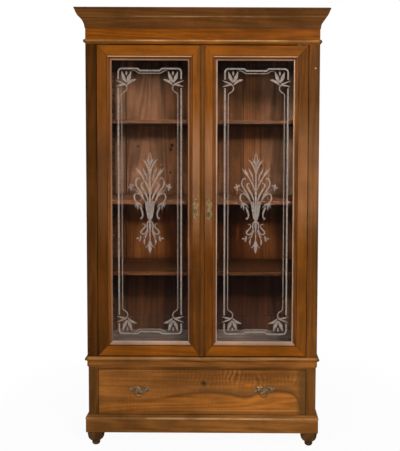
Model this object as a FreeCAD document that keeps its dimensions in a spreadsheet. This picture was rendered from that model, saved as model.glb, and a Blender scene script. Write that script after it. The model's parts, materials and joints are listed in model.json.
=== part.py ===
import FreeCAD, Part
import math
import os
import re

import Sketcher
from FreeCAD import Rotation, Vector

# Walnut display cabinet: a low base with one long drawer, a tall glazed upper case with two
# doors and a moulded cornice. Millimetres, +Z up, front towards -Y, origin under the middle.

# Driving sizes
SIZES = {
    # upper case
    "case_wide": 1163.0,
    "case_deep": 440.0,
    "case_tall": 1571.0,
    "post_wide": 53.5,
    "post_deep": 45.0,
    "side_thick": 30.0,
    "floor_thick": 18.0,
    "head_thick": 20.0,
    "back_thick": 18.0,
    "back_stile_wide": 75.0,
    "back_rail_tall": 100.0,
    "back_muntin_wide": 90.0,
    "panel_thick": 8.0,
    "panel_tongue": 6.0,
    # base
    "base_inset": 4.0,
    "foot_tall": 78.0,
    "plinth_tall": 90.0,
    "drawer_space_tall": 233.0,
    "rail_tall": 47.0,
    "lower_rail_tall": 20.0,
    "cap_thick": 20.0,
    "cap_inside": 60.0,
    "base_floor_thick": 18.0,
    "base_back_thick": 10.0,
    # turned feet
    "foot_set": 43.5,
    "foot_toe_radius": 10.0,
    "foot_spool_radius": 20.5,
    "foot_toe_round": 12.0,
    "foot_spool_tall": 16.0,
    "foot_neck_radius": 22.0,
    "foot_neck_tall": 24.0,
    "foot_neck_cove": 12.0,
    "foot_bun_radius": 41.5,
    "foot_bun_tall": 50.0,
    "foot_bun_round": 28.0,
    "foot_top_radius": 40.0,
    "foot_shoulder_round": 38.0,
    # plinth moulding
    "plinth_out": 13.0,
    "plinth_flat_tall": 69.0,
    "plinth_tip_out": 15.0,
    "plinth_tip_low": 71.0,
    "plinth_tip_high": 76.0,
    "plinth_lip": 3.0,
    "plinth_cove_radius": 24.0,
    # waist moulding
    "waist_drop": 36.0,
    "waist_tier_out": 5.0,
    "waist_cove_tall": 6.0,
    "waist_cove_radius": 6.5,
    "waist_tier_tall": 36.0,
    "waist_lip_out": 10.0,
    "waist_tip_out": 15.0,
    "waist_tip_low": 42.0,
    "waist_tip_high": 48.0,
    "waist_tip_round": 9.0,
    "waist_top_out": 6.0,
    "waist_ovolo_radius": 16.0,
    # frieze and cornice
    "frieze_tall": 158.0,
    "frieze_thick": 28.0,
    "frieze_bead_up": 4.0,
    "frieze_bead_tall": 20.0,
    "frieze_bead_out": 9.0,
    "crown_tall": 94.0,
    "crown_foot_out": 3.0,
    "crown_foot_tall": 3.0,
    "cavetto_out": 22.0,
    "cavetto_tall": 47.0,
    "cavetto_radius": 66.0,
    "crown_step_out": 27.0,
    "crown_step_tall": 51.0,
    "ovolo_out": 43.0,
    "ovolo_radius": 80.0,
    "cornice_out": 46.0,
    "cornice_fillet": 8.0,
    "cornice_board_thick": 14.0,
    # doors
    "door_thick": 25.0,
    "door_side_gap": 2.5,
    "door_stop_gap": 1.5,
    "meeting_gap": 2.0,
    "hinge_flat": 49.0,
    "meeting_flat": 37.0,
    "rail_flat": 51.0,
    "glazing_wide": 23.0,
    "glazing_proud": 2.5,
    "glazing_bead": 8.0,
    "glazing_step": 1.5,
    "glazing_fillet": 3.0,
    "glazing_fillet_deep": 9.0,
    "glazing_cove_radius": 14.0,
    "glass_deep": 13.0,
    "glass_thick": 3.0,
    "glass_gap": 1.0,
    "back_bead_wide": 16.0,
    "back_bead_flat": 10.0,
    "astragal_wide": 24.0,
    "astragal_fillet": 4.0,
    "astragal_proud": 3.0,
    "astragal_bead_out": 6.0,
    # pivots
    "pivot_edge": 6.0,
    "pivot_deep": 5.0,
    "pivot_radius": 3.0,
    "pivot_fit": 0.05,
    "pivot_plate_long": 55.0,
    "pivot_plate_deep": 16.0,
    "pivot_plate_set": 1.0,
    "pivot_plate_thick": 2.2,
    "pivot_plate_gap": 0.4,
    # escutcheons, lock and key
    "escutcheon_wide": 31.0,
    "escutcheon_tall": 108.0,
    "escutcheon_thick": 2.0,
    "escutcheon_up": 750.0,
    "keyhole_shift": 2.5,
    "boss_radius": 5.0,
    "boss_neck_radius": 3.0,
    "boss_out": 9.0,
    "key_drop": 18.0,
    "key_radius": 3.0,
    "key_fit": 0.05,
    "key_out": 13.0,
    "key_in": 33.0,
    "key_collar_radius": 5.0,
    "key_collar_thick": 3.0,
    "key_collar_gap": 1.0,
    "key_bow_radius": 9.0,
    "key_bow_wire": 2.2,
    "lock_set": 1.5,
    "lock_wide": 34.0,
    "lock_thick": 12.0,
    "lock_below": 25.0,
    "lock_above": 35.0,
    "bolt_set": 0.5,
    "bolt_long": 26.0,
    "bolt_thick": 6.0,
    "bolt_tall": 14.0,
    "bolt_up": 8.0,
    "bolt_gap": 0.3,
    "bolt_throw": 12.0,
    "keeper_wide": 22.0,
    "keeper_set": 1.0,
    "keeper_rim": 6.0,
    "mortise_gap": 1.0,
    # racks, cleats and shelves
    "rack_thick": 14.0,
    "rack_wide": 34.0,
    "rack_set": 2.0,
    "tooth_pitch": 45.5,
    "tooth_first": 48.5,
    "tooth_deep": 14.0,
    "tooth_rise": 30.0,
    "cleat_tall": 22.0,
    "shelf_thick": 19.0,
    "shelf_set": 46.0,
    "fit_gap": 1.0,
    # drawer
    "drawer_gap": 2.0,
    "drawer_run_gap": 0.4,
    "drawer_front_thick": 22.0,
    "drawer_side_thick": 14.0,
    "drawer_side_gap": 2.5,
    "drawer_back_thick": 14.0,
    "drawer_back_gap": 20.0,
    "drawer_bottom_thick": 10.0,
    "drawer_bottom_up": 9.0,
    "drawer_groove": 6.0,
    "drawer_back_drop": 6.0,
    "runner_wide": 48.0,
    "guide_tall": 22.0,
    "guide_gap": 1.0,
    "kicker_tall": 18.0,
    "pull_x": 316.0,
    "pull_lift": 11.5,
    "pull_plate_wide": 119.0,
    "pull_plate_tall": 46.0,
    "pull_plate_thick": 2.5,
    "pull_post_half": 30.0,
    "pull_post_radius": 5.5,
    "pull_post_long": 13.0,
    "pull_post_z": 4.0,
    "bail_out": 10.5,
    "bail_half": 22.0,
    "bail_wire": 2.4,
    "bail_leg": 9.0,
    "bail_pin": 2.0,
    "bail_pin_in": 4.0,
    "bail_fit": 0.05,
    "drawer_key_x": 8.0,
    "drawer_key_drop": 69.5,
    "drawer_key_radius": 4.0,
    "keyhole_ring_radius": 14.0,
    "keyhole_ring_thick": 2.0,
    "drawer_lock_wide": 60.0,
    "drawer_lock_below": 28.0,
    "drawer_lock_above": 40.0,
    "drawer_lock_thick": 10.0,
    # one overrun for every cut
    "overrun": 5.0,
}

# Places worked out from the sizes
PLACES = {
    "case_half": "case_wide / 2",
    "base_half": "case_half - base_inset",
    "open_half": "case_half - post_wide",
    "side_inner": "case_half - side_thick",
    "base_inner": "base_half - side_thick",
    "back_y": "(case_deep + cornice_out) / 2",
    "front_y": "back_y - case_deep",
    "base_front": "front_y + base_inset",
    "plinth_high": "foot_tall + plinth_tall",
    "rail_low": "plinth_high + drawer_space_tall",
    "cap_low": "rail_low + rail_tall",
    "waist_high": "cap_low + cap_thick",
    "frieze_low": "waist_high + case_tall",
    "frieze_high": "frieze_low + frieze_tall",
    "cornice_high": "frieze_high + cornice_board_thick",
    "floor_high": "waist_high + floor_thick",
    "head_low": "frieze_low - head_thick",
    "door_space": "2 * pivot_plate_thick + pivot_plate_gap",
    "door_low": "waist_high + door_space",
    "door_high": "frieze_low - door_space",
    "door_edge": "open_half - door_side_gap",
    "door_meet": "(astragal_wide + meeting_gap) / 2",
    "sight_out": "door_edge - hinge_flat",
    "sight_in": "door_meet + meeting_flat",
    "sight_low": "door_low + rail_flat",
    "sight_high": "door_high - rail_flat",
    "door_back": "front_y + door_thick",
    "stop_y": "door_back + door_stop_gap",
    "pivot_x": "door_edge - pivot_edge",
    "pivot_y": "front_y + pivot_deep",
    "keyhole_x": "door_meet + meeting_flat / 2 + keyhole_shift",
    "escutcheon_z": "waist_high + escutcheon_up",
    "key_z": "escutcheon_z - key_drop",
    "lock_x": "door_meet + lock_set",
    "bolt_low": "key_z + bolt_up",
    "bolt_front": "door_back + (lock_thick - bolt_thick) / 2",
    "rack_inner": "open_half - rack_thick",
    "rack_front_low": "stop_y + rack_set",
    "rack_front_high": "rack_front_low + rack_wide",
    "rack_back_high": "back_y - back_thick",
    "rack_back_low": "rack_back_high - rack_wide",
    "drawer_half": "open_half - drawer_gap",
    "drawer_low": "plinth_high + drawer_gap",
    "drawer_high": "rail_low - drawer_gap",
    "drawer_side_out": "open_half - drawer_side_gap",
    "drawer_side_in": "drawer_side_out - drawer_side_thick",
    "drawer_front_back": "base_front + drawer_front_thick",
    "drawer_end": "back_y - base_back_thick - drawer_back_gap",
    "drawer_floor_low": "plinth_high + drawer_bottom_up",
    "drawer_floor_high": "drawer_floor_low + drawer_bottom_thick",
    "drawer_key_z": "drawer_high - drawer_key_drop",
    "pull_z": "(plinth_high + rail_low) / 2 + pull_lift",
    "bail_y": "base_front - bail_out",
    "bail_z": "pull_z + pull_post_z",
}

# How the brass plates' outlines follow their width and height: across, up, radius, turn
ESCUTCHEON_SHARES = [
    (0.0, -0.5), (0.5, -0.2, 0.38, 1), (0.3, 0.0), (0.5, 0.2), (0.0, 0.5, 0.38, 1),
    (-0.5, 0.2, 0.38, 1), (-0.3, 0.0), (-0.5, -0.2), (0.0, -0.5, 0.38, 1),
]
PULL_PLATE_SHARES = [
    (0.0, -0.5), (0.24, -0.22, 0.75, 1), (0.5, 0.0, 0.85, 1), (0.24, 0.22, 0.85, 1),
    (0.0, 0.5, 0.75, 1), (-0.24, 0.22, 0.75, 1), (-0.5, 0.0, 0.85, 1), (-0.24, -0.22, 0.85, 1),
    (0.0, -0.5, 0.75, 1),
]
SHELF_TOOTH_COUNT = {"upper_shelf": 24, "middle_shelf": 15, "lower_shelf": 7}

doc = FreeCAD.newDocument("display_cabinet")
sheet = doc.addObject("Spreadsheet::Sheet", "sizes")
for row, (alias, size) in enumerate(SIZES.items(), start=1):
    sheet.set(f"A{row}", alias)
    sheet.set(f"B{row}", str(size))
    sheet.setAlias(f"B{row}", alias)
doc.recompute()

pieces = {}


# Binding and basic solids

def formula(text):
    """The text with each named size and place written out for an expression."""
    def written_out(match):
        word = match.group()
        if word in SIZES:
            return "sizes." + word
        if word in PLACES:
            return "(" + formula(PLACES[word]) + ")"
        return word
    return re.sub(r"[a-z_]+", written_out, text)


def value(text):
    return float(sheet.evalExpression(formula(text)))


def bind(thing, **properties):
    for name, text in properties.items():
        thing.setExpression(name, formula(text))
    return thing


def place(thing, x="0", y="0", z="0", turn=None):
    """Put a thing at x, y, z, turned about an axis by so many degrees."""
    if turn:
        axis, degrees = turn
        thing.Placement = FreeCAD.Placement(Vector(), Rotation(axis, degrees))
    for axis_name, text in (("x", x), ("y", y), ("z", z)):
        thing.setExpression(f"Placement.Base.{axis_name}", formula(text))
    return thing


def block(name, x, y, z):
    """A squared board between two planes along each axis."""
    box = doc.addObject("Part::Box", name)
    for side, (low, high) in (("Length", x), ("Width", y), ("Height", z)):
        bind(box, **{side: f"({high}) - ({low})"})
    return place(box, x[0], y[0], z[0])


def rod(name, radius, length, x, y, z, along="z"):
    """A round bar from a point, towards +X, -Y or +Z."""
    bar = doc.addObject("Part::Cylinder", name)
    bind(bar, Radius=radius, Height=length)
    turns = {"x": (Vector(0, 1, 0), 90), "y": (Vector(1, 0, 0), 90), "z": None}
    return place(bar, x, y, z, turn=turns[along])


def group(name, members):
    bundle = doc.addObject("Part::Compound", name)
    bundle.Links = members
    return bundle


def cut(name, base, tools):
    result = doc.addObject("Part::Cut", name)
    result.Base = base
    result.Tool = tools[0] if len(tools) == 1 else group(name + "_tools", tools)
    return result


def fuse(name, members):
    result = doc.addObject("Part::MultiFuse", name)
    result.Shapes = members
    return result


def mirror(name, source, normal=Vector(1, 0, 0), y_plane="0"):
    """The piece seen in a mirror, across the middle of the cabinet unless told otherwise."""
    twin = doc.addObject("Part::Mirroring", name)
    twin.Source = source
    twin.Normal = normal
    twin.setExpression("Base.y", formula(y_plane))
    return twin


def keep(label, thing):
    """Name a finished sub-part."""
    thing.Label = label
    pieces[label] = thing
    return thing


# Sketched solids

def draw(sketch, outline, prefix="corner"):
    """Close an outline. A corner is (u, v) for a straight side up to it, or
    (u, v, radius, turn) for an arc up to it: turn 1 runs anticlockwise, -1 clockwise."""
    corners = [Vector(value(corner[0]), value(corner[1]), 0) for corner in outline]
    first_geometry = sketch.GeometryCount
    ends = []
    for index, corner in enumerate(outline):
        start = corners[index - 1]
        end = corners[index]
        if len(corner) == 2:
            sketch.addGeometry(Part.LineSegment(start, end), False)
            ends.append((1, 2))
            continue
        radius = value(corner[2])
        turn = corner[3]
        chord = end - start
        rise = math.sqrt(max(0.0, radius ** 2 - (chord.Length / 2) ** 2))
        leftwards = Vector(-chord.y, chord.x, 0).normalize()
        centre = (start + end) * 0.5 + leftwards * (rise * turn)
        begin, stop = (start, end) if turn > 0 else (end, start)
        angles = [math.atan2(point.y - centre.y, point.x - centre.x) for point in (begin, stop)]
        circle = Part.Circle(centre, Vector(0, 0, 1), radius)
        sketch.addGeometry(Part.ArcOfCircle(circle, *angles), False)
        ends.append((1, 2) if turn > 0 else (2, 1))
    for index, corner in enumerate(outline):
        here = first_geometry + index
        before = first_geometry + (index - 1) % len(outline)
        sketch.addConstraint(Sketcher.Constraint(
            "Coincident", before, ends[index - 1][1], here, ends[index][0]))
        for kind, text, amount in (("DistanceX", corner[0], corners[index].x),
                                   ("DistanceY", corner[1], corners[index].y)):
            number = sketch.addConstraint(Sketcher.Constraint(
                kind, -1, 1, here, ends[index][1], amount))
            name = f"{prefix}_{index}_{kind[-1]}"
            sketch.renameConstraint(number, name)
            sketch.setExpression(f"Constraints.{name}", formula(text))
        if len(corner) == 4:
            number = sketch.addConstraint(Sketcher.Constraint("Radius", here, value(corner[2])))
            name = f"{prefix}_{index}_radius"
            sketch.renameConstraint(number, name)
            sketch.setExpression(f"Constraints.{name}", formula(corner[2]))


def sketch_on(body, role, name, outline):
    sketch = body.newObject("Sketcher::SketchObject", name)
    plane = [feature for feature in body.Origin.OriginFeatures if feature.Role == role][0]
    sketch.AttachmentSupport = [(plane, "")]
    sketch.MapMode = "FlatFace"
    draw(sketch, outline)
    return sketch


def extrude(name, role, outline, length):
    """A pad from one of the body's own planes: XY goes up, YZ to +X and XZ to -Y."""
    body = doc.addObject("PartDesign::Body", name)
    sketch = sketch_on(body, role, name + "_outline", outline)
    pad = body.newObject("PartDesign::Pad", name + "_pad")
    pad.Profile = sketch
    bind(pad, Length=length)
    return body


def pocket(body, role, name, outline):
    """Cut the outline right through the body, both ways from the plane."""
    doc.recompute()
    before = body.Shape.Volume
    tip = body.newObject("PartDesign::Pocket", name)
    tip.Profile = sketch_on(body, role, name + "_outline", outline)
    tip.Type = "ThroughAll"
    tip.Midplane = True
    doc.recompute()
    if body.Shape.Volume >= before:
        raise RuntimeError(f"{name} cuts nothing")
    return tip


def mitred_run(name, section, low, high, length, role="XY_Plane", near=True, far=True):
    """A moulding along X from its outermost tip, its section in Y and Z. The mitres cross
    the plane from low, the outermost line, to high, the innermost."""
    body = extrude(name, "YZ_Plane", section, length)
    reach = f"(({high}) - ({low}) + overrun)"
    for wanted, end, sign in ((near, "near", "-"), (far, "far", "+")):
        if not wanted:
            continue
        tip = "0" if end == "near" else f"({length})"
        back = "+" if end == "near" else "-"
        pocket(body, role, f"{name}_{end}_mitre", [
            (f"{tip} {sign} overrun", f"({low}) - overrun"),
            (f"{tip} {back} {reach}", f"({high}) + overrun"),
            (f"{tip} {sign} overrun", f"({high}) + overrun"),
        ])
    return body


def wrap_round(label, section, out, inside, half, face_y, z, others=()):
    """Three mitred runs of one moulding, along the front and back along both sides, with
    any pieces that lie with them."""
    front = mitred_run(label + "_front", section, f"-({out})", inside, f"2 * (({half}) + ({out}))")
    place(front, f"-({half}) - ({out})", face_y, z)
    left = mitred_run(label + "_left", section, f"-({out})", inside,
                      f"back_y - ({face_y}) + ({out})", near=False)
    place(left, f"-({half})", "back_y", z, turn=(Vector(0, 0, 1), -90))
    right = mirror(label + "_right", left)
    return keep(label, group(label, [front, left, right, *others]))


def shaped_plate(name, shares, wide, tall, thick):
    """A flat brass plate, its outline drawn from shares of its width and height."""
    outline = []
    for corner in shares[1:]:
        point = (f"{corner[0]} * {wide}", f"{corner[1]} * {tall}")
        if len(corner) == 4:
            point += (f"{corner[2]} * {tall}", corner[3])
        outline.append(point)
    return extrude(name, "XZ_Plane", outline, thick)


# Base

def turned_feet():
    profile = [
        ("0", "0"),
        ("foot_toe_radius", "0"),
        ("foot_spool_radius", "foot_toe_round", "foot_toe_round", 1),
        ("foot_spool_radius", "foot_spool_tall"),
        ("foot_neck_radius", "foot_neck_tall", "foot_neck_cove", -1),
        ("foot_bun_radius", "foot_bun_tall", "foot_bun_round", 1),
        ("foot_top_radius", "foot_tall", "foot_shoulder_round", 1),
        ("0", "foot_tall"),
    ]
    feet = []
    across = "base_half + plinth_out - foot_set"
    front = "base_front - plinth_out + foot_set"
    for side, x in (("left", f"-({across})"), ("right", across)):
        for row, y in (("front", front), ("back", "back_y - foot_set")):
            foot = doc.addObject("PartDesign::Body", f"{row}_{side}_foot")
            turning = foot.newObject("PartDesign::Revolution", f"{row}_{side}_turning")
            half = sketch_on(foot, "XZ_Plane", f"{row}_{side}_foot_profile", profile)
            turning.Profile = half
            turning.ReferenceAxis = (half, ["V_Axis"])
            feet.append(place(foot, x, y, "0"))
    keep("turned_feet", group("turned_feet", feet))


def plinth():
    section = [
        ("0", "0"),
        ("-plinth_out", "0"),
        ("-plinth_out", "plinth_flat_tall"),
        ("-plinth_tip_out", "plinth_tip_low"),
        ("-plinth_tip_out", "plinth_tip_high"),
        ("-plinth_lip", "plinth_tall", "plinth_cove_radius", 1),
        ("0", "plinth_tall"),
    ]
    wrap_round("plinth_boards", section, "plinth_tip_out", "0", "base_half", "base_front",
               "foot_tall")


def posts(name, half, front, low, high):
    """Four corner posts, returned as the front pair and the back pair."""
    pairs = []
    for row, y in (("front", (front, f"({front}) + post_deep")),
                   ("back", ("back_y - post_deep", "back_y"))):
        left = block(f"{name}_{row}_left_post", (f"-({half})", "-open_half"), y, (low, high))
        right = mirror(f"{name}_{row}_right_post", left)
        pairs.append(group(f"{name}_{row}_posts", [left, right]))
    return pairs


def base_carcase():
    front_pair, back_pair = posts("base", "base_half", "base_front", "foot_tall", "cap_low")
    keep("base_posts", group("base_posts", [front_pair, back_pair]))
    left = keep("base_left_side", block(
        "base_left_side", ("-base_half", "-base_inner"),
        ("base_front + post_deep", "back_y - post_deep"), ("foot_tall", "cap_low")))
    keep("base_right_side", mirror("base_right_side", left))
    keep("base_back", block(
        "base_back", ("-open_half", "open_half"),
        ("back_y - base_back_thick", "back_y"), ("foot_tall", "cap_low")))
    board = block("base_floor_board", ("-base_inner", "base_inner"),
                  ("base_front", "back_y - base_back_thick"),
                  ("foot_tall", "foot_tall + base_floor_thick"))
    keep("base_floor", cut("base_floor", board, [pieces["base_posts"]]))
    rail_y = ("base_front", "base_front + post_deep")
    upper = block("upper_drawer_rail", ("-open_half", "open_half"), rail_y, ("rail_low", "cap_low"))
    lower = block("lower_drawer_rail", ("-open_half", "open_half"), rail_y,
                  ("plinth_high - lower_rail_tall", "plinth_high"))
    keep("drawer_rails", group("drawer_rails", [upper, lower]))


def drawer_runners():
    """On each side a runner below, a guide beside and a kicker above the drawer."""
    inner = "base_inner - runner_wide"
    guide_in = "drawer_side_out + guide_gap"
    strips = []
    for name, low_x, z in (
            ("runner", inner, ("plinth_high - lower_rail_tall", "plinth_high")),
            ("guide", guide_in, ("plinth_high", "plinth_high + guide_tall")),
            ("kicker", inner, ("rail_low", "rail_low + kicker_tall"))):
        strip = block("right_" + name, (low_x, "base_inner"),
                      ("base_front + post_deep", "back_y - post_deep"), z)
        strips += [strip, mirror("left_" + name, strip)]
    keep("drawer_runners", group("drawer_runners", strips))


def waist_moulding():
    section = [
        ("0", "0"),
        ("-waist_tier_out", "waist_cove_tall", "waist_cove_radius", 1),
        ("-waist_tier_out", "waist_tier_tall"),
        ("-waist_lip_out", "waist_tier_tall"),
        ("-waist_tip_out", "waist_tip_low", "waist_tip_round", -1),
        ("-waist_tip_out", "waist_tip_high"),
        ("-waist_top_out", "waist_drop + cap_thick", "waist_ovolo_radius", -1),
        ("cap_inside", "waist_drop + cap_thick"),
        ("cap_inside", "waist_drop"),
        ("0", "waist_drop"),
    ]
    back_rail = block("cap_back_rail",
                      ("-base_half + cap_inside", "base_half - cap_inside"),
                      ("back_y - cap_inside", "back_y"), ("cap_low", "waist_high"))
    wrap_round("waist_moulding", section, "waist_tip_out", "cap_inside", "base_half",
               "base_front", "cap_low - waist_drop", [back_rail])


# Upper case

def case_carcase():
    front_pair, back_pair = posts("case", "case_half", "front_y", "waist_high", "frieze_low")
    keep("case_front_posts", front_pair)
    keep("case_back_posts", back_pair)
    left = keep("case_left_side", block(
        "case_left_side", ("-case_half", "-side_inner"),
        ("front_y + post_deep", "back_y - post_deep"), ("waist_high", "frieze_low")))
    keep("case_right_side", mirror("case_right_side", left))
    for label, z in (("case_floor", ("waist_high", "floor_high")),
                     ("case_head", ("head_low", "frieze_low"))):
        board = block(label + "_board", ("-side_inner", "side_inner"),
                      ("stop_y", "back_y - back_thick"), z)
        keep(label, cut(label, board, [front_pair, back_pair]))


def back_frame():
    """Stiles, rails and a muntin, grooved for two thin panels."""
    y = ("back_y - back_thick", "back_y")
    rails_z = ("waist_high + back_rail_tall", "frieze_low - back_rail_tall")
    stile_in = "(open_half - back_stile_wide)"
    muntin_half = "(back_muntin_wide / 2)"
    left = block("back_left_stile", ("-open_half", f"-{stile_in}"), y, ("waist_high", "frieze_low"))
    members = [
        left,
        mirror("back_right_stile", left),
        block("back_bottom_rail", (f"-{stile_in}", stile_in), y, ("waist_high", rails_z[0])),
        block("back_top_rail", (f"-{stile_in}", stile_in), y, (rails_z[1], "frieze_low")),
        block("back_muntin", (f"-{muntin_half}", muntin_half), y, rails_z),
    ]
    panel_front = "back_y - (back_thick + panel_thick) / 2"
    panel = block("back_left_panel",
                  (f"-{stile_in} - panel_tongue", f"-{muntin_half} + panel_tongue"),
                  (panel_front, f"{panel_front} + panel_thick"),
                  (f"{rails_z[0]} - panel_tongue", f"{rails_z[1]} + panel_tongue"))
    panels = keep("back_panels", group("back_panels", [panel, mirror("back_right_panel", panel)]))
    keep("back_frame", cut("back_frame", group("back_frame_members", members), [panels]))


def toothed_racks():
    """Four racks with sawtooth notches, front and back on each side."""
    rack = extrude("front_left_rack", "YZ_Plane", [
        ("0", "0"), ("rack_wide", "0"), ("rack_wide", "head_low - floor_high"),
        ("0", "head_low - floor_high")], "rack_thick")
    notch = pocket(rack, "YZ_Plane", "first_notch", [
        ("rack_wide - tooth_deep", "tooth_first"),
        ("rack_wide + overrun", "tooth_first"),
        ("rack_wide + overrun", "tooth_first + tooth_rise * (tooth_deep + overrun) / tooth_deep"),
    ])
    teeth = rack.newObject("PartDesign::LinearPattern", "rack_teeth")
    teeth.Originals = [notch]
    teeth.Direction = (notch.Profile[0], ["V_Axis"])
    count = "floor((head_low - floor_high - tooth_first) / tooth_pitch)"
    bind(teeth, Occurrences=count, Length=f"({count} - 1) * tooth_pitch")
    rack.Tip = teeth
    place(rack, "-open_half", "rack_front_low", "floor_high")
    back = mirror("back_left_rack", rack, Vector(0, 1, 0), "(rack_front_low + rack_back_high) / 2")
    racks = [rack, back, mirror("front_right_rack", rack), mirror("back_right_rack", back)]
    keep("toothed_racks", group("toothed_racks", racks))


def shelves():
    """Each shelf rests on two cleats whose pointed ends sit in the notches."""
    span = "(rack_back_low - rack_front_high)"
    top_in = "tooth_deep * (1 - cleat_tall / tooth_rise) - fit_gap"
    tip_in = "tooth_deep - fit_gap"
    side = [
        (f"-({tip_in})", "0"), (f"{span} + {tip_in}", "0"),
        (f"{span} + {top_in}", "cleat_tall"), (f"-({top_in})", "cleat_tall"),
    ]
    corner = block("front_left_shelf_notch", ("-side_inner - overrun", "-rack_inner + fit_gap"),
                   ("front_y", "rack_front_high + fit_gap"), ("waist_high", "frieze_low"))
    rear = block("back_left_shelf_notch", ("-side_inner - overrun", "-rack_inner + fit_gap"),
                 ("rack_back_low - fit_gap", "back_y"), ("waist_high", "frieze_low"))
    notches = [corner, rear, mirror("front_right_shelf_notch", corner),
               mirror("back_right_shelf_notch", rear)]
    cleats = []
    for label, tooth in SHELF_TOOTH_COUNT.items():
        ledge = f"floor_high + tooth_first + {tooth} * tooth_pitch"
        cleat = extrude(label + "_left_cleat", "YZ_Plane", side, "rack_thick")
        place(cleat, "-open_half", "rack_front_high", ledge)
        cleats += [cleat, mirror(label + "_right_cleat", cleat)]
        board = block(label + "_board", ("-side_inner + fit_gap", "side_inner - fit_gap"),
                      ("front_y + shelf_set", "back_y - back_thick - fit_gap"),
                      (f"{ledge} + cleat_tall", f"{ledge} + cleat_tall + shelf_thick"))
        keep(label, cut(label, board, notches))
    keep("shelf_cleats", group("shelf_cleats", cleats))


# Frieze and cornice

def cornice():
    board = [("0", "0"), ("frieze_thick", "0"), ("frieze_thick", "frieze_tall"),
             ("0", "frieze_tall")]
    wrap_round("frieze_boards", board, "0", "frieze_thick", "case_half", "front_y", "frieze_low")
    bead_radius = ("(frieze_bead_out * frieze_bead_out + frieze_bead_tall * frieze_bead_tall / 4)"
                   " / (2 * frieze_bead_out)")
    bead = [("0", "0"), ("0", "frieze_bead_tall", bead_radius, -1)]
    wrap_round("frieze_bead", bead, "frieze_bead_out", "0", "case_half", "front_y",
               "frieze_low + frieze_bead_up")
    crown = [
        ("0", "0"),
        ("-crown_foot_out", "0"),
        ("-crown_foot_out", "crown_foot_tall"),
        ("-cavetto_out", "cavetto_tall", "cavetto_radius", 1),
        ("-cavetto_out", "crown_step_tall"),
        ("-crown_step_out", "crown_step_tall"),
        ("-ovolo_out", "crown_tall - cornice_fillet", "ovolo_radius", -1),
        ("-cornice_out", "crown_tall - cornice_fillet"),
        ("-cornice_out", "crown_tall"),
        ("0", "crown_tall"),
    ]
    wrap_round("crown_moulding", crown, "cornice_out", "0", "case_half", "front_y",
               "cornice_high - crown_tall")
    keep("cornice_top", block("cornice_top", ("-case_half", "case_half"), ("front_y", "back_y"),
                              ("frieze_high", "cornice_high")))


# Doors

def framed(label, section, deep, across):
    """Four mitred strips round the left door's glass opening, their outer edges on it."""
    sides = []
    wide = "sight_out - sight_in"
    tall = "sight_high - sight_low"
    for name, length, x, z, degrees in (
            ("bottom", wide, "-sight_out", "sight_low", 0),
            ("left", tall, "-sight_out", "sight_high", 90),
            ("top", wide, "-sight_in", "sight_high", 180),
            ("right", tall, "-sight_in", "sight_low", -90)):
        strip = mitred_run(f"{label}_{name}", section, "0", across, length, role="XZ_Plane")
        sides.append(place(strip, x, deep, z, turn=(Vector(0, 1, 0), degrees)))
    return group(label, sides)


def door_frame():
    """The left door's mitred stiles and rails."""
    outer = ("-door_edge", "-door_meet", "door_low", "door_high")
    inner = ("-sight_out", "-sight_in", "sight_low", "sight_high")
    corners = {
        "hinge_stile": [(outer[0], outer[2]), (inner[0], inner[2]), (inner[0], inner[3]),
                        (outer[0], outer[3])],
        "meeting_stile": [(outer[1], outer[2]), (outer[1], outer[3]), (inner[1], inner[3]),
                          (inner[1], inner[2])],
        "top_rail": [(outer[0], outer[3]), (inner[0], inner[3]), (inner[1], inner[3]),
                     (outer[1], outer[3])],
        "bottom_rail": [(outer[0], outer[2]), (outer[1], outer[2]), (inner[1], inner[2]),
                        (inner[0], inner[2])],
    }
    for name, outline in corners.items():
        member = extrude("left_door_" + name, "XZ_Plane", outline, "door_thick")
        place(member, "0", "door_back", "0")
        keep("left_door_" + name, member)


def door_glazing():
    bead_radius = ("(glazing_proud * glazing_proud + glazing_bead * glazing_bead / 4)"
                   " / (2 * glazing_proud)")
    ogee = [
        ("glass_deep", "0"),
        ("0", "0"),
        ("0", "glazing_bead", bead_radius, -1),
        ("glazing_step", "glazing_bead"),
        ("glazing_fillet_deep", "glazing_wide - glazing_fillet", "glazing_cove_radius", 1),
        ("glazing_fillet_deep", "glazing_wide"),
        ("glass_deep", "glazing_wide"),
    ]
    keep("left_door_glazing", framed("left_door_glazing", ogee, "front_y", "glazing_wide"))
    glass_back = "(glass_deep + glass_thick)"
    strip = [(glass_back, "0"), (glass_back, "back_bead_wide"),
             ("door_thick", "back_bead_flat"), ("door_thick", "0")]
    keep("left_door_back_beads", framed("left_door_back_beads", strip, "front_y",
                                        "back_bead_wide"))
    keep("left_door_glass", block(
        "left_door_glass", ("-sight_out + glass_gap", "-sight_in - glass_gap"),
        ("front_y + glass_deep", f"front_y + {glass_back}"),
        ("sight_low + glass_gap", "sight_high - glass_gap")))


def astragal():
    """The beaded strip that closes the left door's edge."""
    bead_half = "(astragal_wide / 2 - astragal_fillet)"
    radius = (f"(astragal_bead_out * astragal_bead_out + {bead_half} * {bead_half})"
              " / (2 * astragal_bead_out)")
    plan = [
        ("0", "door_thick"),
        ("0", "-astragal_proud"),
        ("astragal_fillet", "-astragal_proud"),
        ("astragal_wide - astragal_fillet", "-astragal_proud", radius, 1),
        ("astragal_wide", "-astragal_proud"),
        ("astragal_wide", "door_thick"),
    ]
    strip = extrude("left_door_astragal", "XY_Plane", plan, "door_high - door_low")
    keep("left_door_astragal", place(strip, "-door_meet", "front_y", "door_low"))


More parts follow.
